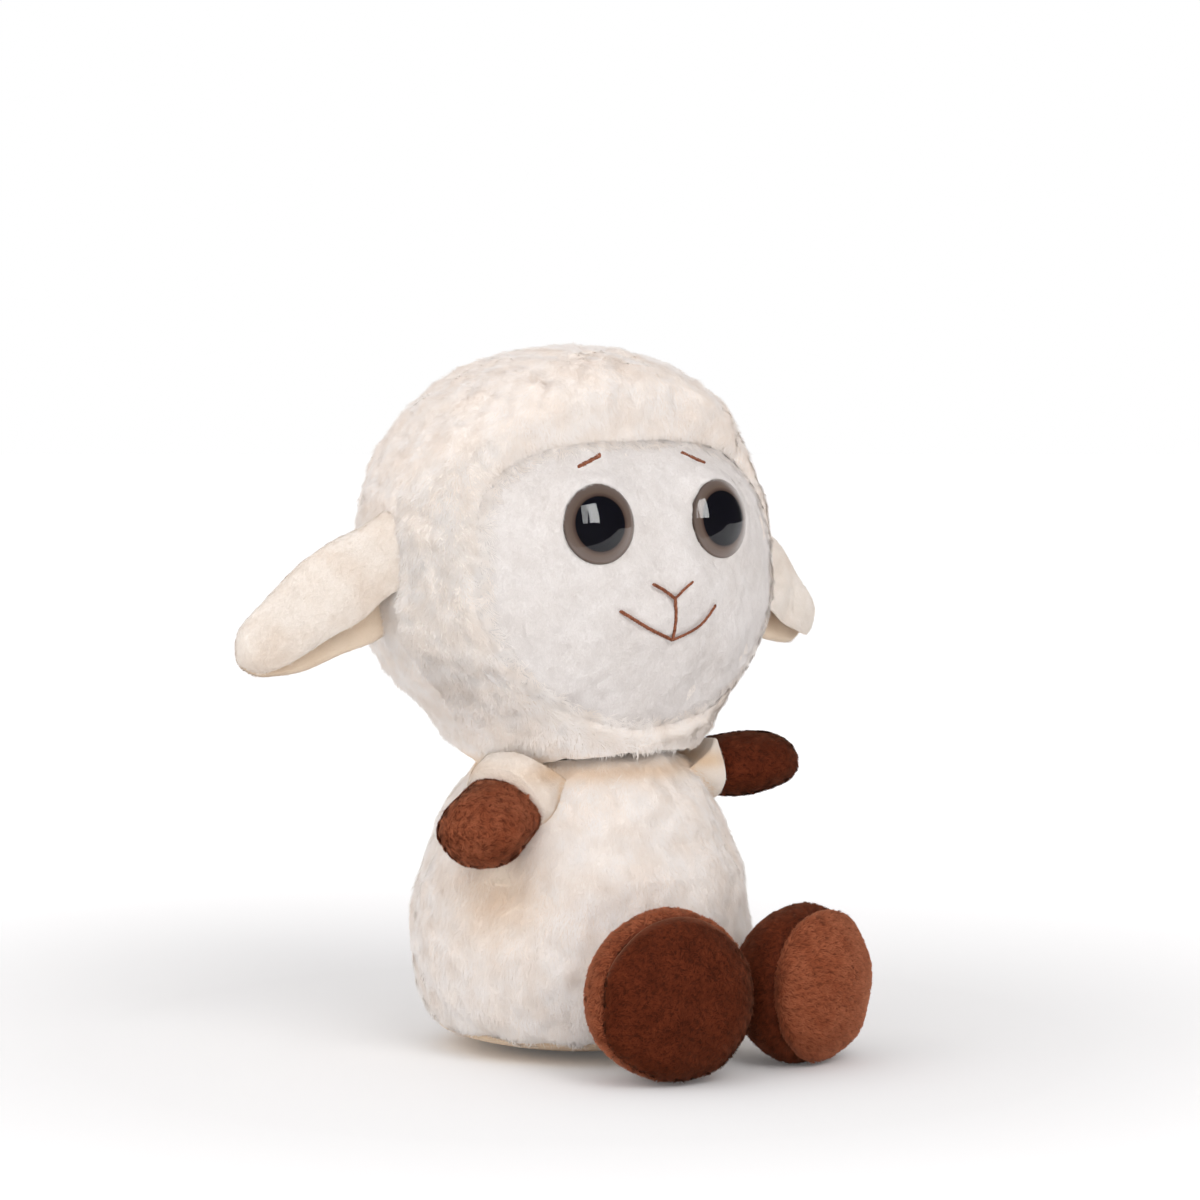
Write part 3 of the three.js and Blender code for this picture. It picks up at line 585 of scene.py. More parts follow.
# Brown plush in a lit copy and a darker shaded copy, for backing and nap alike; the darker copy is painted shade
# for parts that look darker in this light
brown_back = cloth("brown_back", colour(92, 42, 26), colour(118, 58, 38), 200, 1500, 0.0002, 0.3,
                   sheen_tint=BROWN_SHEEN)
shaded_brown_back = cloth("shaded_brown_back", colour(66, 27, 14), colour(86, 37, 21), 200, 1500, 0.0002, 0.3,
                  sheen_tint=BROWN_SHEEN)
brown_nap = cloth("brown_nap", colour(168, 90, 59), colour(188, 108, 75), 190, 0, 0, 0.3, roughness=0.8,
                  strands=True, root=BROWN_ROOT_SHADE, uneven=0.6, sheen_tint=BROWN_SHEEN)
shaded_brown_nap = cloth("shaded_brown_nap", colour(108, 47, 25), colour(126, 58, 33), 190, 0, 0, 0.15, roughness=0.8,
                 strands=True, root=BROWN_ROOT_SHADE, uneven=0.6, sheen_tint=BROWN_SHEEN)
thread_cloth = cloth("thread_cloth", colour(112, 62, 42), colour(160, 102, 76), 1400, 2500, 0.0001, 0.1,
                     roughness=0.6)
clear_plastic = plastic("clear_plastic", colour(253, 253, 253), WHITE, 0.01, 0.02, transmission=1.0)
white_plastic = plastic("white_plastic", colour(233, 233, 230), colour(241, 241, 239), 0.35, 0.45)


def finish_piece(piece, material, body, nodes=()):
    piece.data.materials.clear()
    piece.data.materials.append(material)
    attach(piece, body)
    if nodes:
        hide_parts(*nodes)
    return piece


# Head

HEAD_CENTRE = (0.0, HEAD_SET_BACK, HEAD_BOTTOM + HEAD_HEIGHT / 2)


def lean_head(points):
    return turned_about(points, HEAD_CENTRE, ACROSS, -HEAD_LEAN)


def lean_face(points):
    return turned_about(points, HEAD_CENTRE, ACROSS, -FACE_LEAN)


def upright_face(points):
    return turned_about(points, HEAD_CENTRE, ACROSS, FACE_LEAN)


def face_depth(x, z):
    """How far forward the face lies at a place across and up, before it leans."""
    up_or_down = np.where(z > FACE_ROUND_MIDDLE, FACE_ROUND_UP, FACE_ROUND_DOWN)
    round_part = 1 - (x / FACE_ROUND_HALF_WIDTH) ** 2 - ((z - FACE_ROUND_MIDDLE) / up_or_down) ** 2
    muzzle = np.exp(-(x / MUZZLE_HALF_WIDTH) ** 2 - ((z - MUZZLE_MIDDLE) / MUZZLE_HALF_HEIGHT) ** 2)
    return HEAD_SET_BACK - FACE_REACH * np.sqrt(np.maximum(round_part, 0.02)) - MUZZLE_RISE * muzzle


def face_share(x, z):
    """1 on the face's edge, less inside it and more outside."""
    power = np.where(z > FACE_MIDDLE, FACE_TOP_POWER, FACE_LOW_POWER)
    wide = np.abs(x) / FACE_HALF_WIDTH
    high = np.abs(z - FACE_MIDDLE) / FACE_HALF_HEIGHT
    return (wide ** power + high ** power) ** (1 / power)


def hood_points(sides, rings):
    shares = curve_through(HEAD_SHARES, rings)
    radius = np.maximum(shares[:, 1], 0.002) * HEAD_HALF_WIDTH
    points = lathe(np.stack([radius, HEAD_BOTTOM + shares[:, 0] * HEAD_HEIGHT], 1), sides)
    depth = -points[..., 1] * HEAD_HALF_DEPTH / HEAD_HALF_WIDTH
    limit = FOREHEAD_REACH * np.sqrt(1 - (points[..., 0] / FOREHEAD_HALF_WIDTH) ** 2)
    flatter = (depth + limit) / 2 - np.hypot((depth - limit) / 2, FOREHEAD_BLEND)
    points[..., 1] = HEAD_SET_BACK - np.where(depth > 0, np.maximum(flatter, 0), depth)
    return lean_head(points)


def head_fleece():
    """The hood: a closed form whose front turns in round the face."""
    sides, rings = 340, 210
    points = hood_points(sides, rings).reshape(-1, 3)
    piece = add_object("head_fleece", points, grid_faces(rings, sides))
    push_out(piece, -PILE_DEPTH + 0.00030 * ripple(points, 0.013, 3) + 0.00014 * ripple(points, 0.006, 4))
    upright = upright_face(points_of(piece))
    upright[:, 2] += CROWN_RISE * smooth_step(HEAD_BOTTOM + 0.06, HEAD_BOTTOM + HEAD_HEIGHT, upright[:, 2])
    x, y, z = upright.T
    share = face_share(x, z)
    front = y < HEAD_SET_BACK
    wide = 0.16 + 0.14 * smooth_step(0.0, 0.035, z - FACE_MIDDLE)
    outward = np.where(front, np.clip((share - 0.99) / wide, 0, 1), 1)
    depth = face_depth(x, z) + 0.0008
    roll = (1 - (1 - outward) ** 2) ** 0.6
    upright[:, 1] = np.where(y < depth, depth + (y - depth) * roll, y)
    piece.data.vertices.foreach_set("co", lean_face(upright).ravel())
    piece.data.update()
    # painted shade in the neck's crease
    keep_value(piece.data, "painted_shade", painted_shade_share(points_of(piece)))
    return finish_piece(piece, fleece_back, "head", ("head_hood", "head_filling"))


def head_comb(points):
    """The fleece lies down and back from the crown, and inwards over the upper edge of the face."""
    upright = upright_face(points)
    share = face_share(upright[:, 0], upright[:, 2])
    near = smooth_step(1.25, 1.02, share) * (upright[:, 1] < HEAD_SET_BACK)
    inward = np.stack([-points[:, 0], np.zeros(len(points)), FACE_MIDDLE - points[:, 2]], 1)
    down = np.array([0.0, 0.25, -1.0]) + np.zeros_like(points)
    return unit(down) * (1 - near)[:, None] + unit(inward + down * 0.03) * near[:, None]


def outside_face(points):
    upright = upright_face(points)
    share = face_share(upright[:, 0], upright[:, 2])
    front = upright[:, 1] < HEAD_SET_BACK
    return np.where(front & (share < 0.985), 0.0, 1.0) * (points[:, 2] > HEAD_BOTTOM + 0.0062)


def head_light(points):
    """Strands at the face's edge and at the neck take the light of what faces outwards beside them."""
    upright = upright_face(points)
    share = face_share(upright[:, 0], upright[:, 2])
    near = smooth_step(1.24, 1.1, share) * (upright[:, 1] < HEAD_SET_BACK)
    low = 0.4 * smooth_step(HEAD_BOTTOM + 0.016, HEAD_BOTTOM + 0.006, points[:, 2])
    outward = unit(points * np.array([1.0, 1.0, 0.0]))
    return -1.6 * near[:, None] * np.array([0.0, 1.0, 0.0]) + 1.2 * low[:, None] * (outward + 0.5 * UP)


def face_edge(points):
    """The chance of fleece over the face's own edge, and none over its hidden rim."""
    upright = upright_face(points)
    share = face_share(upright[:, 0], upright[:, 2])
    return smooth_step(0.92, 0.99, share) * (share < 1.0)


def inside_face(points):
    """1 on the face where it is clear of the thread, 0 elsewhere."""
    upright = upright_face(points)
    near = np.full(len(points), 1.0)
    for line in stitch_lines():
        for px, pz in curve_through(line, 24):
            near = np.minimum(near, np.hypot(upright[:, 0] - px, upright[:, 2] - pz))
    shown = upright[:, 1] < face_depth(upright[:, 0], upright[:, 2]) + 0.0012
    return (1 - outside_face(points)) * (near > STITCH_CLEAR) * shown


def face_panel():
    sides, rings = 220, 90
    angle = np.arange(sides) * TURN / sides
    reach = np.linspace(0.004, 1.05, rings)
    power = 2 / np.where(np.sin(angle) > 0, FACE_TOP_POWER, FACE_LOW_POWER)
    wide = np.sign(np.cos(angle)) * np.abs(np.cos(angle)) ** power
    high = np.sign(np.sin(angle)) * np.abs(np.sin(angle)) ** power
    x = FACE_HALF_WIDTH * reach[:, None] * wide
    z = FACE_MIDDLE + FACE_HALF_HEIGHT * reach[:, None] * high
    front = np.stack([x, face_depth(x, z), z], -1)
    front[..., 1] += 0.004 * smooth_step(0.975, 1.04, reach)[:, None]
    for side in (-1, 1):
        middle, axis = upright_eye(side)
        away = np.hypot(x - middle[0], z - middle[2])
        level = middle + axis * (LENS_SEAT + EYE_COLLAR)
        seat = level[1] - ((x - level[0]) * axis[0] + (z - level[2]) * axis[2]) / axis[1]
        near = np.exp(-((away - EYE_RADIUS) / 0.0035) ** 2) * (away > EYE_RADIUS) + (away <= EYE_RADIUS)
        front[..., 1] += (seat - front[..., 1]) * near
        front[..., 1] += 0.004 * smooth_step(EYE_RADIUS - 0.0001, EYE_RADIUS - 0.0016, away)
    for line in stitch_lines():
        near = np.full(x.shape, 1.0)
        for px, pz in curve_through(line, 24):
            near = np.minimum(near, np.hypot(x - px, z - pz))
        front[..., 1] += 0.0003 * np.exp(-(near / 0.0012) ** 2)
    front[..., 1] += 0.0003 * ripple(front, 0.018, 21) + 0.0001 * ripple(front, 0.006, 22)
    back = front[::-1] + np.array([0.0, 0.002, 0.0])
    points = lean_face(np.concatenate([front, back]))
    faces = grid_faces(2 * rings, sides)
    piece = add_object("face_plush", points, [tuple(reversed(f)) for f in faces])
    return finish_piece(piece, face_cloth, "head", ("face_panel",))


# Eyes

def upright_eye(side):
    """The middle of an eye's plate and its axis, before the face leans."""
    x = side * EYE_APART / 2
    middle = np.array([x, float(face_depth(np.array(x), np.array(EYE_MIDDLE))), EYE_MIDDLE])
    return middle - eye_axis(side) * EYE_SINK, eye_axis(side)


def eye_origin(side, height=0.0):
    middle, axis = upright_eye(side)
    return lean_face(middle + axis * height)


def eye_axis(side):
    level = math.cos(EYE_LIFT)
    return np.array([side * math.sin(EYE_SPLAY) * level, -math.cos(EYE_SPLAY) * level, math.sin(EYE_LIFT)])


def eye_form(side, outline, sides=64):
    """Rings turned about the eye's axis, from an outline of (radius, height over the eye's plate)."""
    middle, axis = upright_eye(side)
    across = unit(np.cross(UP, axis))
    return lean_face(placed(lathe(outline, sides), across, np.cross(axis, across), axis, middle))


def eye_lens(name, side):
    top = LENS_SEAT + LENS_EDGE
    ball = (EYE_RADIUS ** 2 + LENS_DOME ** 2) / (2 * LENS_DOME)
    outline = [(0.0001, LENS_SEAT), (EYE_RADIUS - 0.0004, LENS_SEAT), (EYE_RADIUS, LENS_SEAT + 0.0004)]
    for share in np.linspace(0, 1, 16):
        radius = max(EYE_RADIUS * (1 - share), 0.0001)
        outline.append((radius, top + LENS_DOME - ball + math.sqrt(ball ** 2 - radius ** 2)))
    points = eye_form(side, outline, 96)
    piece = add_object(f"{name}_lens", points, grid_faces(len(outline), 96))
    piece.visible_shadow = False
    return finish_piece(piece, clear_plastic, "head", (f"{name}_eye_lens",))


def eye_iris(name, side):
    """A painted plate that the lens is cast over."""
    outline = [(0.0001, 0.0), (IRIS_RADIUS, 0.0), (IRIS_RADIUS, IRIS_TOP), (0.0001, IRIS_TOP)]
    points = eye_form(side, outline)
    piece = add_object(f"{name}_iris", points, grid_faces(len(outline), 64), smooth=False)
    return finish_piece(piece, iris_paint(name), "head", (f"{name}_eye_iris",))


# Embroidery

def stitch_lines():
    """The embroidered lines as places across and up."""
    point = NOSE_TOP - NOSE_DEPTH
    lines = [
        [(-NOSE_HALF_WIDTH, NOSE_TOP), (-NOSE_HALF_WIDTH / 2, NOSE_TOP - 0.45 * NOSE_DEPTH), (0, point)],
        [(NOSE_HALF_WIDTH, NOSE_TOP), (NOSE_HALF_WIDTH / 2, NOSE_TOP - 0.45 * NOSE_DEPTH), (0, point)],
        [(0, point), (0.0004, (point + MOUTH_BOTTOM) / 2), (0, MOUTH_BOTTOM)],
        [(-MOUTH_HALF_WIDTH, MOUTH_CORNER), (-MOUTH_HALF_WIDTH / 2, MOUTH_BOTTOM + 0.0037), (0, MOUTH_BOTTOM)],
        [(0, MOUTH_BOTTOM), (0.0072, MOUTH_BOTTOM + 0.0022), (0.012, MOUTH_BOTTOM + 0.0046),
         (MOUTH_HALF_WIDTH, MOUTH_CORNER)],
    ]
    for side in (-1, 1):
        middle = side * BROW_APART / 2
        inner = middle - side * BROW_HALF_LENGTH
        outer = middle + side * BROW_HALF_LENGTH
        lines.append([(inner, BROW_HEIGHT + BROW_DROP), (middle, BROW_HEIGHT), (outer, BROW_HEIGHT - BROW_DROP)])
    return lines


def thread_along(route, radius, sides=8):
    """A tube of rings along a route of points, closed at its ends."""
    ahead = unit(np.gradient(route, axis=0))
    outward = np.array([0.0, -1.0, 0.0])
    side = unit(np.cross(ahead, outward))
    lift = np.cross(side, ahead)
    angle = np.arange(sides) * TURN / sides
    ring = np.cos(angle)[:, None, None] * side + np.sin(angle)[:, None, None] * lift
    thick = np.full(len(route), radius)
    thick[0] = thick[-1] = radius * 0.5
    points = route + ring * thick[:, None]
    return points.transpose(1, 0, 2)


def stitched(name, lines, nodes, satin=False):
    """Thread over the face: two plies twisted along each line, or short slanted stitches side by side."""
    points, faces, start = [], [], 0
    for line in lines:
        rough = curve_through(line, 40)
        length = np.linalg.norm(np.diff(rough, axis=0), axis=1).sum()
        for x, z, rise in (satin_routes if satin else ply_routes)(line, length):
            y = face_depth(x, z) - 0.0001 - THREAD_RADIUS * rise
            tube = thread_along(np.stack([x, y, z], 1), THREAD_RADIUS * 0.75)
            faces += [tuple(start + i for i in f) for f in grid_faces(tube.shape[0], tube.shape[1])]
            points.append(tube.reshape(-1, 3))
            start += len(points[-1])
    piece = add_object(name, lean_face(np.concatenate(points)), faces)
    return finish_piece(piece, thread_cloth, "head", nodes)


def ply_routes(line, length):
    """Two twisted plies along a line, pulled down a little at each stitch: places across, up and forward."""
    count = max(int(length / 0.00025), 12)
    flat = curve_through(line, count)
    distance = np.linspace(0, length, count)
    pull = np.abs(np.sin(distance / STITCH_LENGTH * math.pi)) ** 0.5
    for ply in (0, math.pi):
        twist = distance / PLY_PITCH * TURN + ply
        sideways = THREAD_RADIUS * 0.4 * np.cos(twist)
        yield flat[:, 0] + sideways, flat[:, 1] + sideways, 0.5 * np.sin(twist) + 0.6 * pull


def satin_routes(line, length):
    """Short slanted stitches side by side along a line."""
    count = max(int(length / (THREAD_RADIUS * 1.5)), 4)
    flat = curve_through(line, count)
    ahead = unit(flat[-1] - flat[0])
    slant = unit(ahead + 0.9 * np.array([-ahead[1], ahead[0]]))
    chance = np.random.default_rng(count)
    for middle in flat:
        half = SATIN_HALF_WIDTH * chance.uniform(0.7, 1.1)
        t = np.linspace(-1, 1, 9)
        route = middle + slant * (t * half)[:, None]
        yield route[:, 0], route[:, 1], 0.7 * (1 - t ** 2)


# Ears

def ear_frame(side):
    level = np.array([side * math.cos(EAR_SWEEP), math.sin(EAR_SWEEP), 0.0])
    along = level * math.cos(EAR_DROOP) - UP * math.sin(EAR_DROOP)
    front = unit(np.cross(along, UP) * side)
    upward = np.cross(front, along) * side
    return along, front, upward


def ear_layer(side, outer, inner):
    """One cloth of the folded leaf between two shares of its thickness, its edges rounded."""
    stations, around = 60, 48
    table = curve_through(EAR_WIDTH_SHARES, 200)
    top = table[-1, 0] + EAR_TIP_SHARE
    spread = np.linspace(0, TURN / 4, stations)
    shares = EAR_WIDTH_SHARES[0][0] + (top - EAR_WIDTH_SHARES[0][0]) * np.sin(spread)
    tip_start = 0.9
    edge = np.sqrt(np.clip(1 - np.abs(np.linspace(-1, 1, around)) ** 10, 0, 1))
    rings = []
    for share in shares:
        wide = np.interp(share, table[:, 0], table[:, 1])
        past = max(share - tip_start, 0) / (top - tip_start)
        close = math.sqrt(max(1 - past ** 2, 0.0004))
        free = -0.25 - 0.35 * max(share, 0)
        fold = curve_through([(0.95, free), (1.1, (free + 0.5) / 2)] + EAR_FOLD_SHARES[2:], around)
        scale = np.array([max(wide * EAR_FOLD_DEPTH, EAR_THICKNESS * 1.2), wide * EAR_HALF_WIDTH]) * close
        curve = fold * scale
        ahead = unit(np.gradient(curve, axis=0))
        outward = np.stack([ahead[:, 1], -ahead[:, 0]], 1)
        outward *= -1 if outward[around // 2] @ fold[around // 2] < 0 else 1
        thick = EAR_THICKNESS * close * edge[:, None]
        ring = np.concatenate([curve + outward * thick * outer, (curve + outward * thick * inner)[::-1]])
        rings.append(np.column_stack([np.full(len(ring), share * EAR_LENGTH), ring]))
    points = np.array(rings)
    along, front, upward = ear_frame(side)
    points = placed(points, along, front, upward, (side * EAR_ROOT[0], EAR_ROOT[1], EAR_ROOT[2]))
    points = points + 0.0003 * ripple_vector(points, 0.016, 31)
    return points, grid_faces(points.shape[0], points.shape[1])


def ear(name, side):
    """A leaf folded along its top, of an outer cloth and a lining; the front flap stops short of the back one."""
    along = ear_frame(side)[0]
    comb = lambda places: along - 0.2 * UP + np.zeros_like(places)
    # the lining's darker tint is painted shade of the fold
    cloths = (("ear_cloth", 0.25, -0.3, cream_cloth, "ear_outer"), ("ear_inside", -0.32, -0.8, lining_shaded_cloth, "ear_lining"))
    for part, outer, inner, material, node in cloths:
        points, faces = ear_layer(side, outer, inner)
        piece = add_object(f"{name}_{part}", points, faces)
        turn_outwards(piece)
        finish_piece(piece, material, f"{name}_ear", (f"{name}_{node}",))
        if part == "ear_cloth":
            nap = pile(f"{name}_ear_nap", piece, 60_000, 0.0010, 0.00015, math.radians(62), comb, 30 + side)
            finish_piece(nap, cream_nap, f"{name}_ear")


# Body

def body_outline(rings):
    low = curve_through(BODY_SHARES, rings * 2 // 3)
    low = np.stack([low[:, 1] * BODY_RADIUS, low[:, 0] * SHOULDER_HEIGHT], 1)
    first = math.asin((SHOULDER_HEIGHT + 0.0006 - NECK_HEIGHT) / NECK_SEAT_RADIUS)
    angle = np.linspace(first, TURN / 4, rings // 3)
    high = np.stack([NECK_SEAT_RADIUS * np.cos(angle), NECK_HEIGHT + NECK_SEAT_RADIUS * np.sin(angle)], 1)
    high[-1, 0] = 0.0002
    return np.concatenate([low, high])


def body_fleece():
    sides = 220
    outline = body_outline(120)
    outline = outline[outline[:, 1] >= BASE_SEAM_HEIGHT - 0.001]
    outline = np.concatenate([[(0.0002, outline[0, 1] + 0.001)], outline])
    points = lathe(outline, sides).reshape(-1, 3)
    piece = add_object("body_fleece", points, grid_faces(len(outline), sides))
    lumps = 0.0004 * ripple(points, 0.02, 5) + 0.0002 * ripple(points, 0.008, 6)
    push_out(piece, -BODY_PILE_DEPTH + lumps - HOLLOW_DEPTH * in_hollow(points))
    # painted shade in the neck's crease and in the hollow under the right hand
    keep_value(piece.data, "painted_shade", painted_shade_share(points_of(piece)))
    return finish_piece(piece, fleece_back, "body", ("body_cover", "body_filling", "pellet_bag"))


def base_panel():
    outline = body_outline(120)
    low = outline[outline[:, 1] <= BASE_SEAM_HEIGHT + 0.0005]
    low = np.concatenate([[(0.0002, 0.0)], low, [(low[-1, 0] - 0.002, low[-1, 1] + 0.001)], [(0.0002, 0.004)]])
    low[:, 1] = np.maximum(low[:, 1], 0.0001)
    points = lathe(low, 120)
    piece = add_object("base_cloth", points, grid_faces(len(low), 120))
    # painted shade: the whole base cloth takes the full crease tint, for the shade under the body
    keep_value(piece.data, "painted_shade", np.ones(len(piece.data.vertices)))
    return finish_piece(piece, cream_cloth, "body", ("base_panel",))


def body_comb(points):
    """Down, and outwards near the base."""
    low = 0.6 * smooth_step(0.012, 0.005, points[:, 2])[:, None]
    outward = unit(points * np.array([1.0, 1.0, 0.0]))
    return -UP * (1 - low) + outward * low


def above_base(points):
    return (points[:, 2] > BASE_SEAM_HEIGHT - 0.0005).astype(float)


# Arms

def arm_frame(name):
    side = SIDES[name]
    slope = ARM_SLOPE[name]
    level = np.array([side * math.sin(ARM_AZIMUTH), -math.cos(ARM_AZIMUTH), 0.0])
    along = level * math.cos(slope) + UP * math.sin(slope)
    across = unit(np.cross(along, UP))
    upright = np.cross(across, along)
    root = level * ARM_ROOT_OUT + UP * ARM_ROOT_HEIGHT
    return across, upright, along, root


def arm_radius(distance):
    shares = curve_through(ARM_SHARES, 200)
    return np.interp(distance / ARM_LENGTH, shares[:, 0], shares[:, 1]) * ARM_HALF_HEIGHT


def under_head(points, clearance):
    """Keeps points below the head's underside."""
    shares = curve_through(HEAD_SHARES, 300)[:150]
    reach = np.hypot(points[..., 0], points[..., 1])
    lowest = np.interp(reach, shares[:, 1] * HEAD_HALF_WIDTH, HEAD_BOTTOM + shares[:, 0] * HEAD_HEIGHT)
    points[..., 2] = np.minimum(points[..., 2], lowest - clearance)
    return points


def arm_part(name, part, distances, radii, material, nodes, tall=1.0, lift=0.0, crown=None):
    across, upright, along, root = arm_frame(name)
    crown = np.zeros(len(radii)) if crown is None else crown
    points = lathe(np.stack([radii, distances], 1), 96)
    points[..., 0] *= ARM_HALF_WIDTH / ARM_HALF_HEIGHT
    points[..., 1] *= tall
    points[..., 1] += crown[:, None] * smooth_step(0, ARM_HALF_HEIGHT, points[..., 1])
    points = placed(points, across, upright, along, root + UP * lift)
    points = points + 0.0003 * ripple_vector(points, 0.014, 41)
    points = under_head(points, 0.001)
    piece = add_object(f"{name}_{part}", points, grid_faces(len(radii), 96))
    turn_outwards(piece)
    places = points.reshape(-1, 3)
    # painted shade on the cloth where it meets the body, and in the neck's crease and the hollow
    gap = np.linalg.norm(places - UP * NECK_HEIGHT, axis=1) - NECK_SEAT_RADIUS
    keep_value(piece.data, "painted_shade", np.maximum(np.exp(-(gap / 0.0014) ** 2), painted_shade_share(places)))
    return finish_piece(piece, material, f"{name}_arm", nodes)


def arm(name):
    shares = np.linspace(0, 1, 40)
    seam = VISIBLE_HAND_SEAM[name]
    distance = -0.006 + shares * (seam + 0.006)
    pinch = 1 - 0.10 * np.exp(-((distance - seam) / 0.0018) ** 2)
    crown = SLEEVE_CROWN[name] * np.exp(-((distance - seam * 0.6) / 0.0095) ** 2)
    radius = arm_radius(np.maximum(distance, 0)) * pinch * 1.08
    radius[0] = 0.0002
    nodes = (f"{name}_arm_sleeve",)
    sleeve = arm_part(name, "sleeve", distance, radius, cream_cloth, nodes, crown=crown)
    distance = seam - 0.0004 + (ARM_LENGTH - 0.0005 - seam) * np.sin(shares * TURN / 4)
    pinch = 1 - 0.12 * np.exp(-((distance - seam) / 0.0014) ** 2)
    radius = np.maximum(arm_radius(distance) * pinch - 0.0005, 0.0002)
    radius[0] *= 0.9
    nodes = (f"{name}_hand", f"{name}_arm_filling")
    # the far hand takes the darker shaded copy, painted shade
    hand_nap, hand_back = (brown_nap, brown_back) if name == "right" else (shaded_brown_nap, shaded_brown_back)
    hand = arm_part(name, "hand_plush", distance, radius, hand_back, nodes,
                    tall=HAND_FULLNESS[name], lift=HAND_LIFT[name])
    across, upright, along, root = arm_frame(name)
    side = SIDES[name]
    comb = lambda points: along - 0.3 * UP + np.zeros_like(points)
    around = lambda points: across * side + 0.3 * along + np.zeros_like(points)
    before_seam = lambda points: (points - root) @ along < seam - 0.0006
    past_seam = lambda points: (points - root) @ along > seam + 0.0006
    nap = pile(f"{name}_sleeve_nap", sleeve, 25_000, 0.0009, 0.00014, math.radians(68), comb, 40 + side,
               keep=before_seam)
    finish_piece(nap, cream_nap, f"{name}_arm")
    nap = pile(f"{name}_hand_nap", hand, 18_000, 0.0021, 0.00038, math.radians(75), around, 50 + side,
               tangle=1.0, tuft=0.0024, keep=past_seam, dense=True)
    finish_piece(nap, hand_nap, f"{name}_arm")


# Feet

def foot_frame(side):
    along = np.array([side * math.sin(FOOT_SPLAY), -math.cos(FOOT_SPLAY), 0.0])
    across = unit(np.cross(along, UP))
    middle = (FOOT_ASIDE + side * FOOT_APART / 2, -FOOT_AHEAD, FOOT_RADIUS - FOOT_FLAT)
    return across, UP, along, middle


def foot_part(name, part, outline, material, nodes, flat=0.0003, drop=0.0):
    across, upright, along, middle = foot_frame(SIDES[name])
    points = placed(lathe(outline, 128), across, upright, along, middle + UP * (FOOT_LIFT[name] - drop))
    points = points + 0.00025 * ripple_vector(points, 0.02, 61)
    clamp_to_floor(points, flat)
    piece = add_object(f"{name}_{part}", points, grid_faces(len(outline), 128))
    turn_outwards(piece)
    return finish_piece(piece, material, f"{name}_leg", nodes)


def foot_shell(side):
    """1 on the outside of a foot's two cloths, 0 on the hidden faces between them."""
    middle, along = foot_frame(side)[3], foot_frame(side)[2]

    def keep(points):
        away = points - np.array(middle)
        ahead = away @ along
        reach = np.linalg.norm(away - ahead[:, None] * along, axis=1)
        hidden = (ahead > 0) & (ahead < SOLE_SEAM + 0.003) & (reach < FOOT_RADIUS * 0.8)
        edge = (ahead > SOLE_SEAM - 0.0008) & (reach > FOOT_RADIUS * 0.972)
        return 1.0 - (hidden | edge)
    return keep


def foot(name):
    side = SIDES[name]
    thick = ANKLE_RADIUS if name == "right" else ANKLE_RADIUS * 0.75
    leg = [(0.0002, -0.030), (thick * 0.9, -0.028), (thick, -0.020), (thick, -FOOT_BACK - 0.002),
           (thick * 0.93, -FOOT_BACK + 0.0005), (0.0002, -FOOT_BACK + 0.002)]
    leg = curve_through(leg, 30)
    drop = 0 if name == "right" else 0.004
    foot_part(name, "leg_cloth", leg, cream_cloth, (f"{name}_leg_sleeve",), drop=drop)
    shares = curve_through(FOOT_SHARES, 60)
    place = -FOOT_BACK + shares[:, 0] * (FOOT_BACK + SOLE_SEAM)
    pinch = 1 - 0.04 * np.exp(-((place - SOLE_SEAM) / 0.0014) ** 2)
    stout = FOOT_STOUT[name]
    radius = shares[:, 1] * FOOT_RADIUS * pinch + stout
    outline = np.concatenate([[(0.0002, -FOOT_BACK + 0.001)], np.stack([radius, place], 1), [(0.0002, SOLE_SEAM)]])
    nodes = (f"{name}_foot_upper", f"{name}_leg_filling")
    # the right foot's sole and the left foot's upper take the darker shaded copy, painted shade
    lit, dark = (brown_nap, brown_back), (shaded_brown_nap, shaded_brown_back)
    (upper_nap, upper_back), (sole_nap, sole_back) = (lit, dark) if name == "right" else (dark, lit)
    upper = foot_part(name, "foot_plush", outline, upper_back, nodes)
    angle = np.linspace(0, TURN / 4, 40)
    rim = FOOT_RADIUS * FOOT_SHARES[-1][1]
    radius = np.maximum(rim * np.cos(angle) ** 0.85 + stout, 0.0002)
    radius[-1] = 0.0002
    place = SOLE_SEAM + 0.0003 + (SOLE_RISE - 0.001) * np.sin(angle)
    pinch = 1 - 0.04 * np.exp(-((place - SOLE_SEAM) / 0.0014) ** 2)
    outline = np.concatenate([[(0.0002, SOLE_SEAM - 0.001)], np.stack([radius * pinch, place], 1)])
    sole = foot_part(name, "sole_plush", outline, sole_back, (f"{name}_foot_sole",))
    along = foot_frame(side)[2]
    down = lambda points: -along - 0.8 * UP + np.zeros_like(points)
    sideways = lambda points: ACROSS * side - 0.25 * UP + np.zeros_like(points)
    shell = foot_shell(side)
    nap = pile(f"{name}_foot_nap", upper, 26_000, 0.0021, 0.00038, math.radians(75), down, 70 + side,
               tangle=0.9, tuft=0.0024, keep=shell, dense=True)
    finish_piece(nap, upper_nap, f"{name}_leg")
    lean = math.radians(75)
    nap = pile(f"{name}_sole_nap", sole, 22_000, 0.0020, 0.00036, lean, sideways, 80 + side,
               tangle=1.1 if name == "right" else 0.5, tuft=0.0017, keep=shell, dense=True)
    finish_piece(nap, sole_nap, f"{name}_leg")


# Stage

def direction(azimuth, elevation):
    level = math.cos(elevation)
    return np.array([math.sin(azimuth) * level, -math.cos(azimuth) * level, math.sin(elevation)])


def aimed(thing, place, target):
    from mathutils import Vector
    thing.location = tuple(place)
    thing.rotation_mode = "QUATERNION"
    thing.rotation_quaternion = (Vector(target) - Vector(place)).to_track_quat("-Z", "Y")


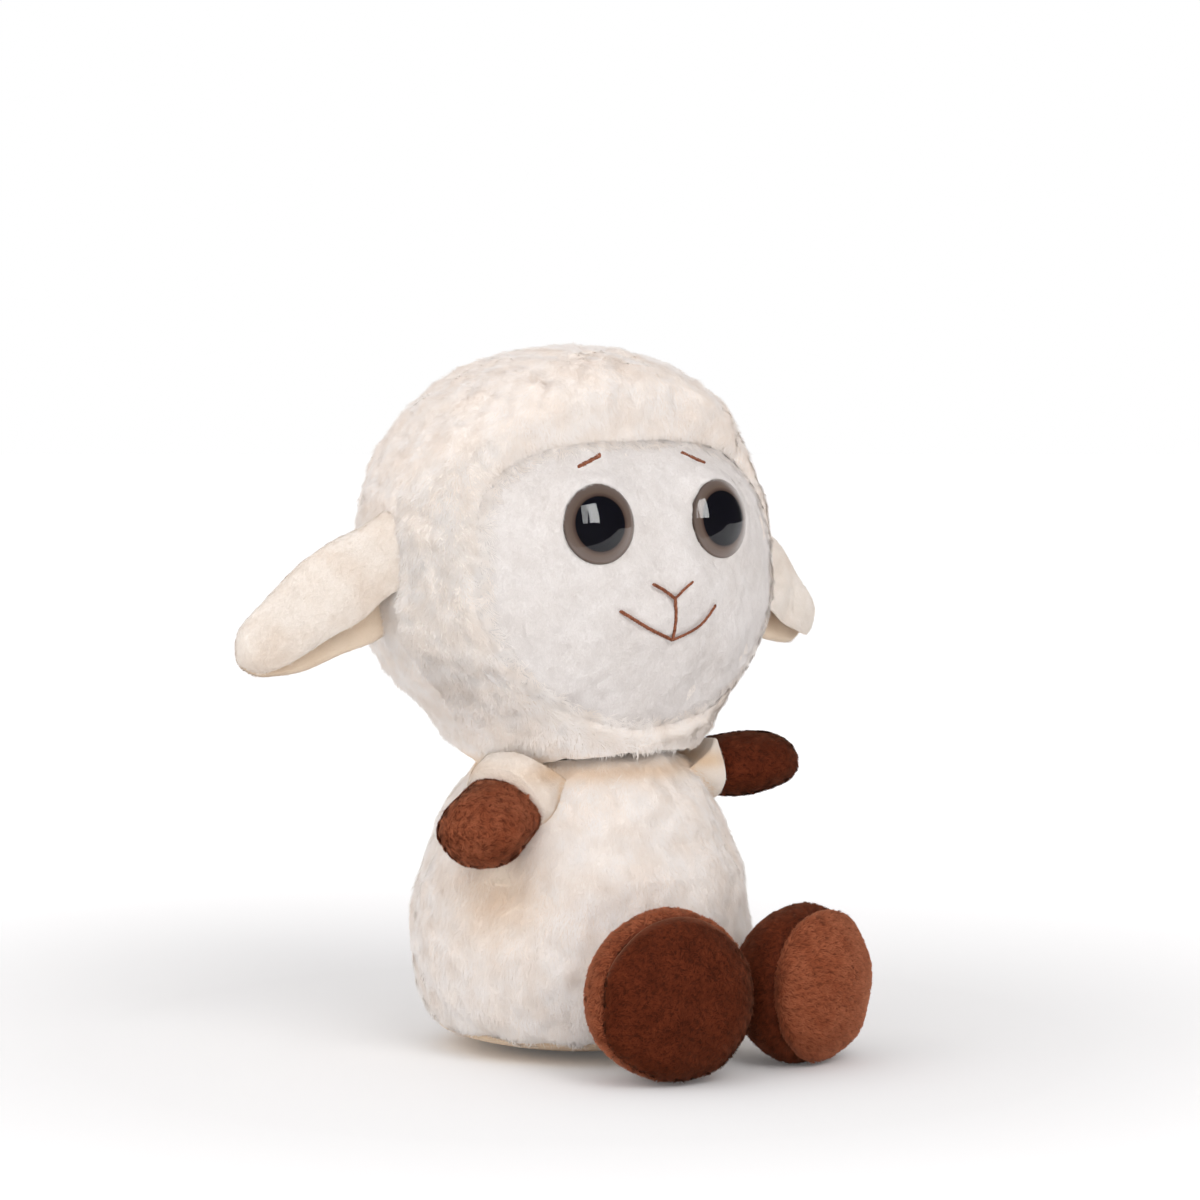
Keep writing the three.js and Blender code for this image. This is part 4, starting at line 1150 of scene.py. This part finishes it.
def camera():
    data = bpy.data.cameras.new("camera")
    data.lens = LENS_LENGTH
    data.sensor_width = 36
    data.clip_start = 0.01
    data.clip_end = 100
    thing = bpy.data.objects.new("camera", data)
    bpy.context.collection.objects.link(thing)
    aimed(thing, np.array(TARGET) + CAMERA_DISTANCE * direction(CAMERA_AZIMUTH, CAMERA_ELEVATION), TARGET)
    bpy.context.scene.camera = thing


def lamp(name, azimuth, elevation, distance, width, height, power, shift=0.0, mirrored=False):
    """A flat lamp; a mirrored one is seen in gloss alone, and the others light the cloth alone."""
    data = bpy.data.lights.new(name, "AREA")
    data.shape = "RECTANGLE"
    data.size = width
    data.size_y = height
    data.energy = power
    thing = bpy.data.objects.new(name, data)
    bpy.context.collection.objects.link(thing)
    place = np.array(TARGET) + distance * direction(azimuth, elevation)
    place = place + shift * np.array([math.cos(azimuth), math.sin(azimuth), 0.0])
    aimed(thing, place, TARGET)
    thing.visible_diffuse = not mirrored
    thing.visible_glossy = mirrored
    thing.visible_transmission = False


def lights():
    """A wide soft lamp before the toy, a weaker one at its side, and a window's two panes in the eyes."""
    lamp("key", math.radians(-9), math.radians(36), 1.3, 0.7, 0.7, KEY_POWER)
    lamp("fill", math.radians(-100), math.radians(30), 1.4, 1.2, 1.0, FILL_POWER)
    for name, width, shift, power in (("pane_a", 0.26, -0.27, 3.6), ("pane_b", 0.42, 0.10, 11.0)):
        lamp(name, math.radians(-9), math.radians(29), 1.3, width, 0.8, power, shift, mirrored=True)
    world = bpy.data.worlds.new("world")
    bpy.context.scene.world = world
    world.use_nodes = True
    tree = world.node_tree
    tree.nodes.clear()
    place = tree.nodes.new("ShaderNodeTexCoord")
    parts = tree.nodes.new("ShaderNodeSeparateXYZ")
    tree.links.new(place.outputs["Generated"], parts.inputs[0])
    seen = tree.nodes.new("ShaderNodeLightPath")
    mirrored = joined(tree, "MAXIMUM", seen.outputs["Is Glossy Ray"], seen.outputs["Is Transmission Ray"])
    behind = ramp(tree, parts.outputs["Y"], [(0.0, (0, 0, 0, 1)), (0.3, (1, 1, 1, 1))])
    backdrop = joined(tree, "MULTIPLY", mirrored, behind)
    share = joined(tree, "MAXIMUM", seen.outputs["Is Camera Ray"], backdrop)
    height = ramp(tree, parts.outputs["Z"], [(0.0, WORLD_LOW), (0.8, WORLD_HIGH)])
    width = ramp(tree, parts.outputs["X"], [(0.0, WHITE), (0.9, WORLD_FAR_SHADE)])
    soft = tree.nodes.new("ShaderNodeBackground")
    tree.links.new(mixed(tree, 1.0, height, width, "MULTIPLY"), soft.inputs["Color"])
    dark = joined(tree, "MULTIPLY", seen.outputs["Is Glossy Ray"], ROOM_DARKNESS)
    tree.links.new(joined(tree, "SUBTRACT", WORLD_STRENGTH, dark), soft.inputs["Strength"])
    white = tree.nodes.new("ShaderNodeBackground")
    white.inputs["Color"].default_value = (1, 1, 1, 1)
    white.inputs["Strength"].default_value = 1.0
    mix = tree.nodes.new("ShaderNodeMixShader")
    out = tree.nodes.new("ShaderNodeOutputWorld")
    tree.links.new(share, mix.inputs[0])
    tree.links.new(soft.outputs[0], mix.inputs[1])
    tree.links.new(white.outputs[0], mix.inputs[2])
    tree.links.new(mix.outputs[0], out.inputs[0])


def joined(tree, way, first, second):
    node = tree.nodes.new("ShaderNodeMath")
    node.operation = way
    for place, value in enumerate((first, second)):
        if isinstance(value, float):
            node.inputs[place].default_value = value
        else:
            tree.links.new(value, node.inputs[place])
    return node.outputs[0]


def floor():
    """A white table that shows only the toy's own shadow; it ends a little way before the toy."""
    ahead = direction(CAMERA_AZIMUTH, 0.0)
    across = np.array([-ahead[1], ahead[0], 0.0])
    half = 4.0
    points = np.array([ahead * a + across * b for a, b in
                       ((TABLE_FRONT, -half), (TABLE_FRONT, half), (-half, half), (-half, -half))])
    thing = add_object("floor", points, [(0, 1, 2, 3)], smooth=False)
    material, tree, shader = node_set("floor_white")
    shader.inputs["Base Color"].default_value = (0.93, 0.93, 0.93, 1)
    shader.inputs["Roughness"].default_value = 0.9
    shader.inputs["Specular IOR Level"].default_value = 0.0
    seen = tree.nodes.new("ShaderNodeLightPath")
    mirrored = joined(tree, "MAXIMUM", seen.outputs["Is Glossy Ray"], seen.outputs["Is Transmission Ray"])
    share = joined(tree, "MAXIMUM", seen.outputs["Is Camera Ray"], mirrored)
    place = tree.nodes.new("ShaderNodeTexCoord")
    away = tree.nodes.new("ShaderNodeVectorMath")
    away.operation = "LENGTH"
    tree.links.new(place.outputs["Object"], away.inputs[0])
    near = (FLOOR_GLOW_NEAR, FLOOR_GLOW_NEAR, FLOOR_GLOW_NEAR, 1)
    share = joined(tree, "MULTIPLY", share, ramp(tree, away.outputs["Value"], [(0.14, near), (0.5, WHITE)]))
    shader.inputs["Emission Color"].default_value = (1, 1, 1, 1)
    tree.links.new(joined(tree, "MULTIPLY", share, FLOOR_GLOW), shader.inputs["Emission Strength"])
    thing.data.materials.append(material)


def build():
    camera()
    lights()
    floor()
    hood = head_fleece()
    nap = pile("head_underpile", hood, 190_000, 0.0022, 0.00022, math.radians(68), head_comb, 11,
               tuft=0.006, keep=outside_face, lit=head_light)
    finish_piece(nap, fleece_pile, "head")
    nap = pile("head_overpile", hood, 40_000, 0.0030, 0.00020, math.radians(64), head_comb, 13, bent=True,
               tangle=0.5, tuft=0.005, keep=outside_face, lit=head_light)
    finish_piece(nap, fleece_pile, "head")
    face = face_panel()
    down = lambda points: -UP + np.zeros_like(points)
    nap = pile("face_nap", face, 90_000, 0.0009, 0.00014, math.radians(70), down, 14, keep=inside_face)
    finish_piece(nap, face_nap, "head")
    nap = pile("face_edge_pile", face, 36_000, 0.0028, 0.00022, math.radians(74), head_comb, 16,
               tangle=0.8, tuft=0.004, keep=face_edge, lit=head_light)
    finish_piece(nap, fleece_pile, "head")
    for name, side in SIDES.items():
        eye_lens(name, side)
        eye_iris(name, side)
        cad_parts[f"{name}_eye_washer"].data.materials.clear()
        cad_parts[f"{name}_eye_washer"].data.materials.append(white_plastic)
        ear(name, side)
        arm(name)
        foot(name)
    lines = stitch_lines()
    stitched("nose_thread", lines[:3], ("nose_stitch",))
    stitched("mouth_thread", lines[3:5], ("mouth_stitch",))
    stitched("right_brow_thread", lines[5:6], ("right_brow_stitch",), satin=True)
    stitched("left_brow_thread", lines[6:7], ("left_brow_stitch",), satin=True)
    body = body_fleece()
    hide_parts("neck_filling")
    nap = pile("body_underpile", body, 190_000, 0.0022, 0.00022, math.radians(68), body_comb, 12, tuft=0.006,
               keep=above_base)
    finish_piece(nap, fleece_pile, "body")
    nap = pile("body_overpile", body, 30_000, 0.0030, 0.00020, math.radians(64), body_comb, 15, bent=True,
               tangle=0.5, tuft=0.005, keep=above_base)
    finish_piece(nap, fleece_pile, "body")
    base_panel()
    bpy.context.scene.view_settings.view_transform = "Standard"


build()
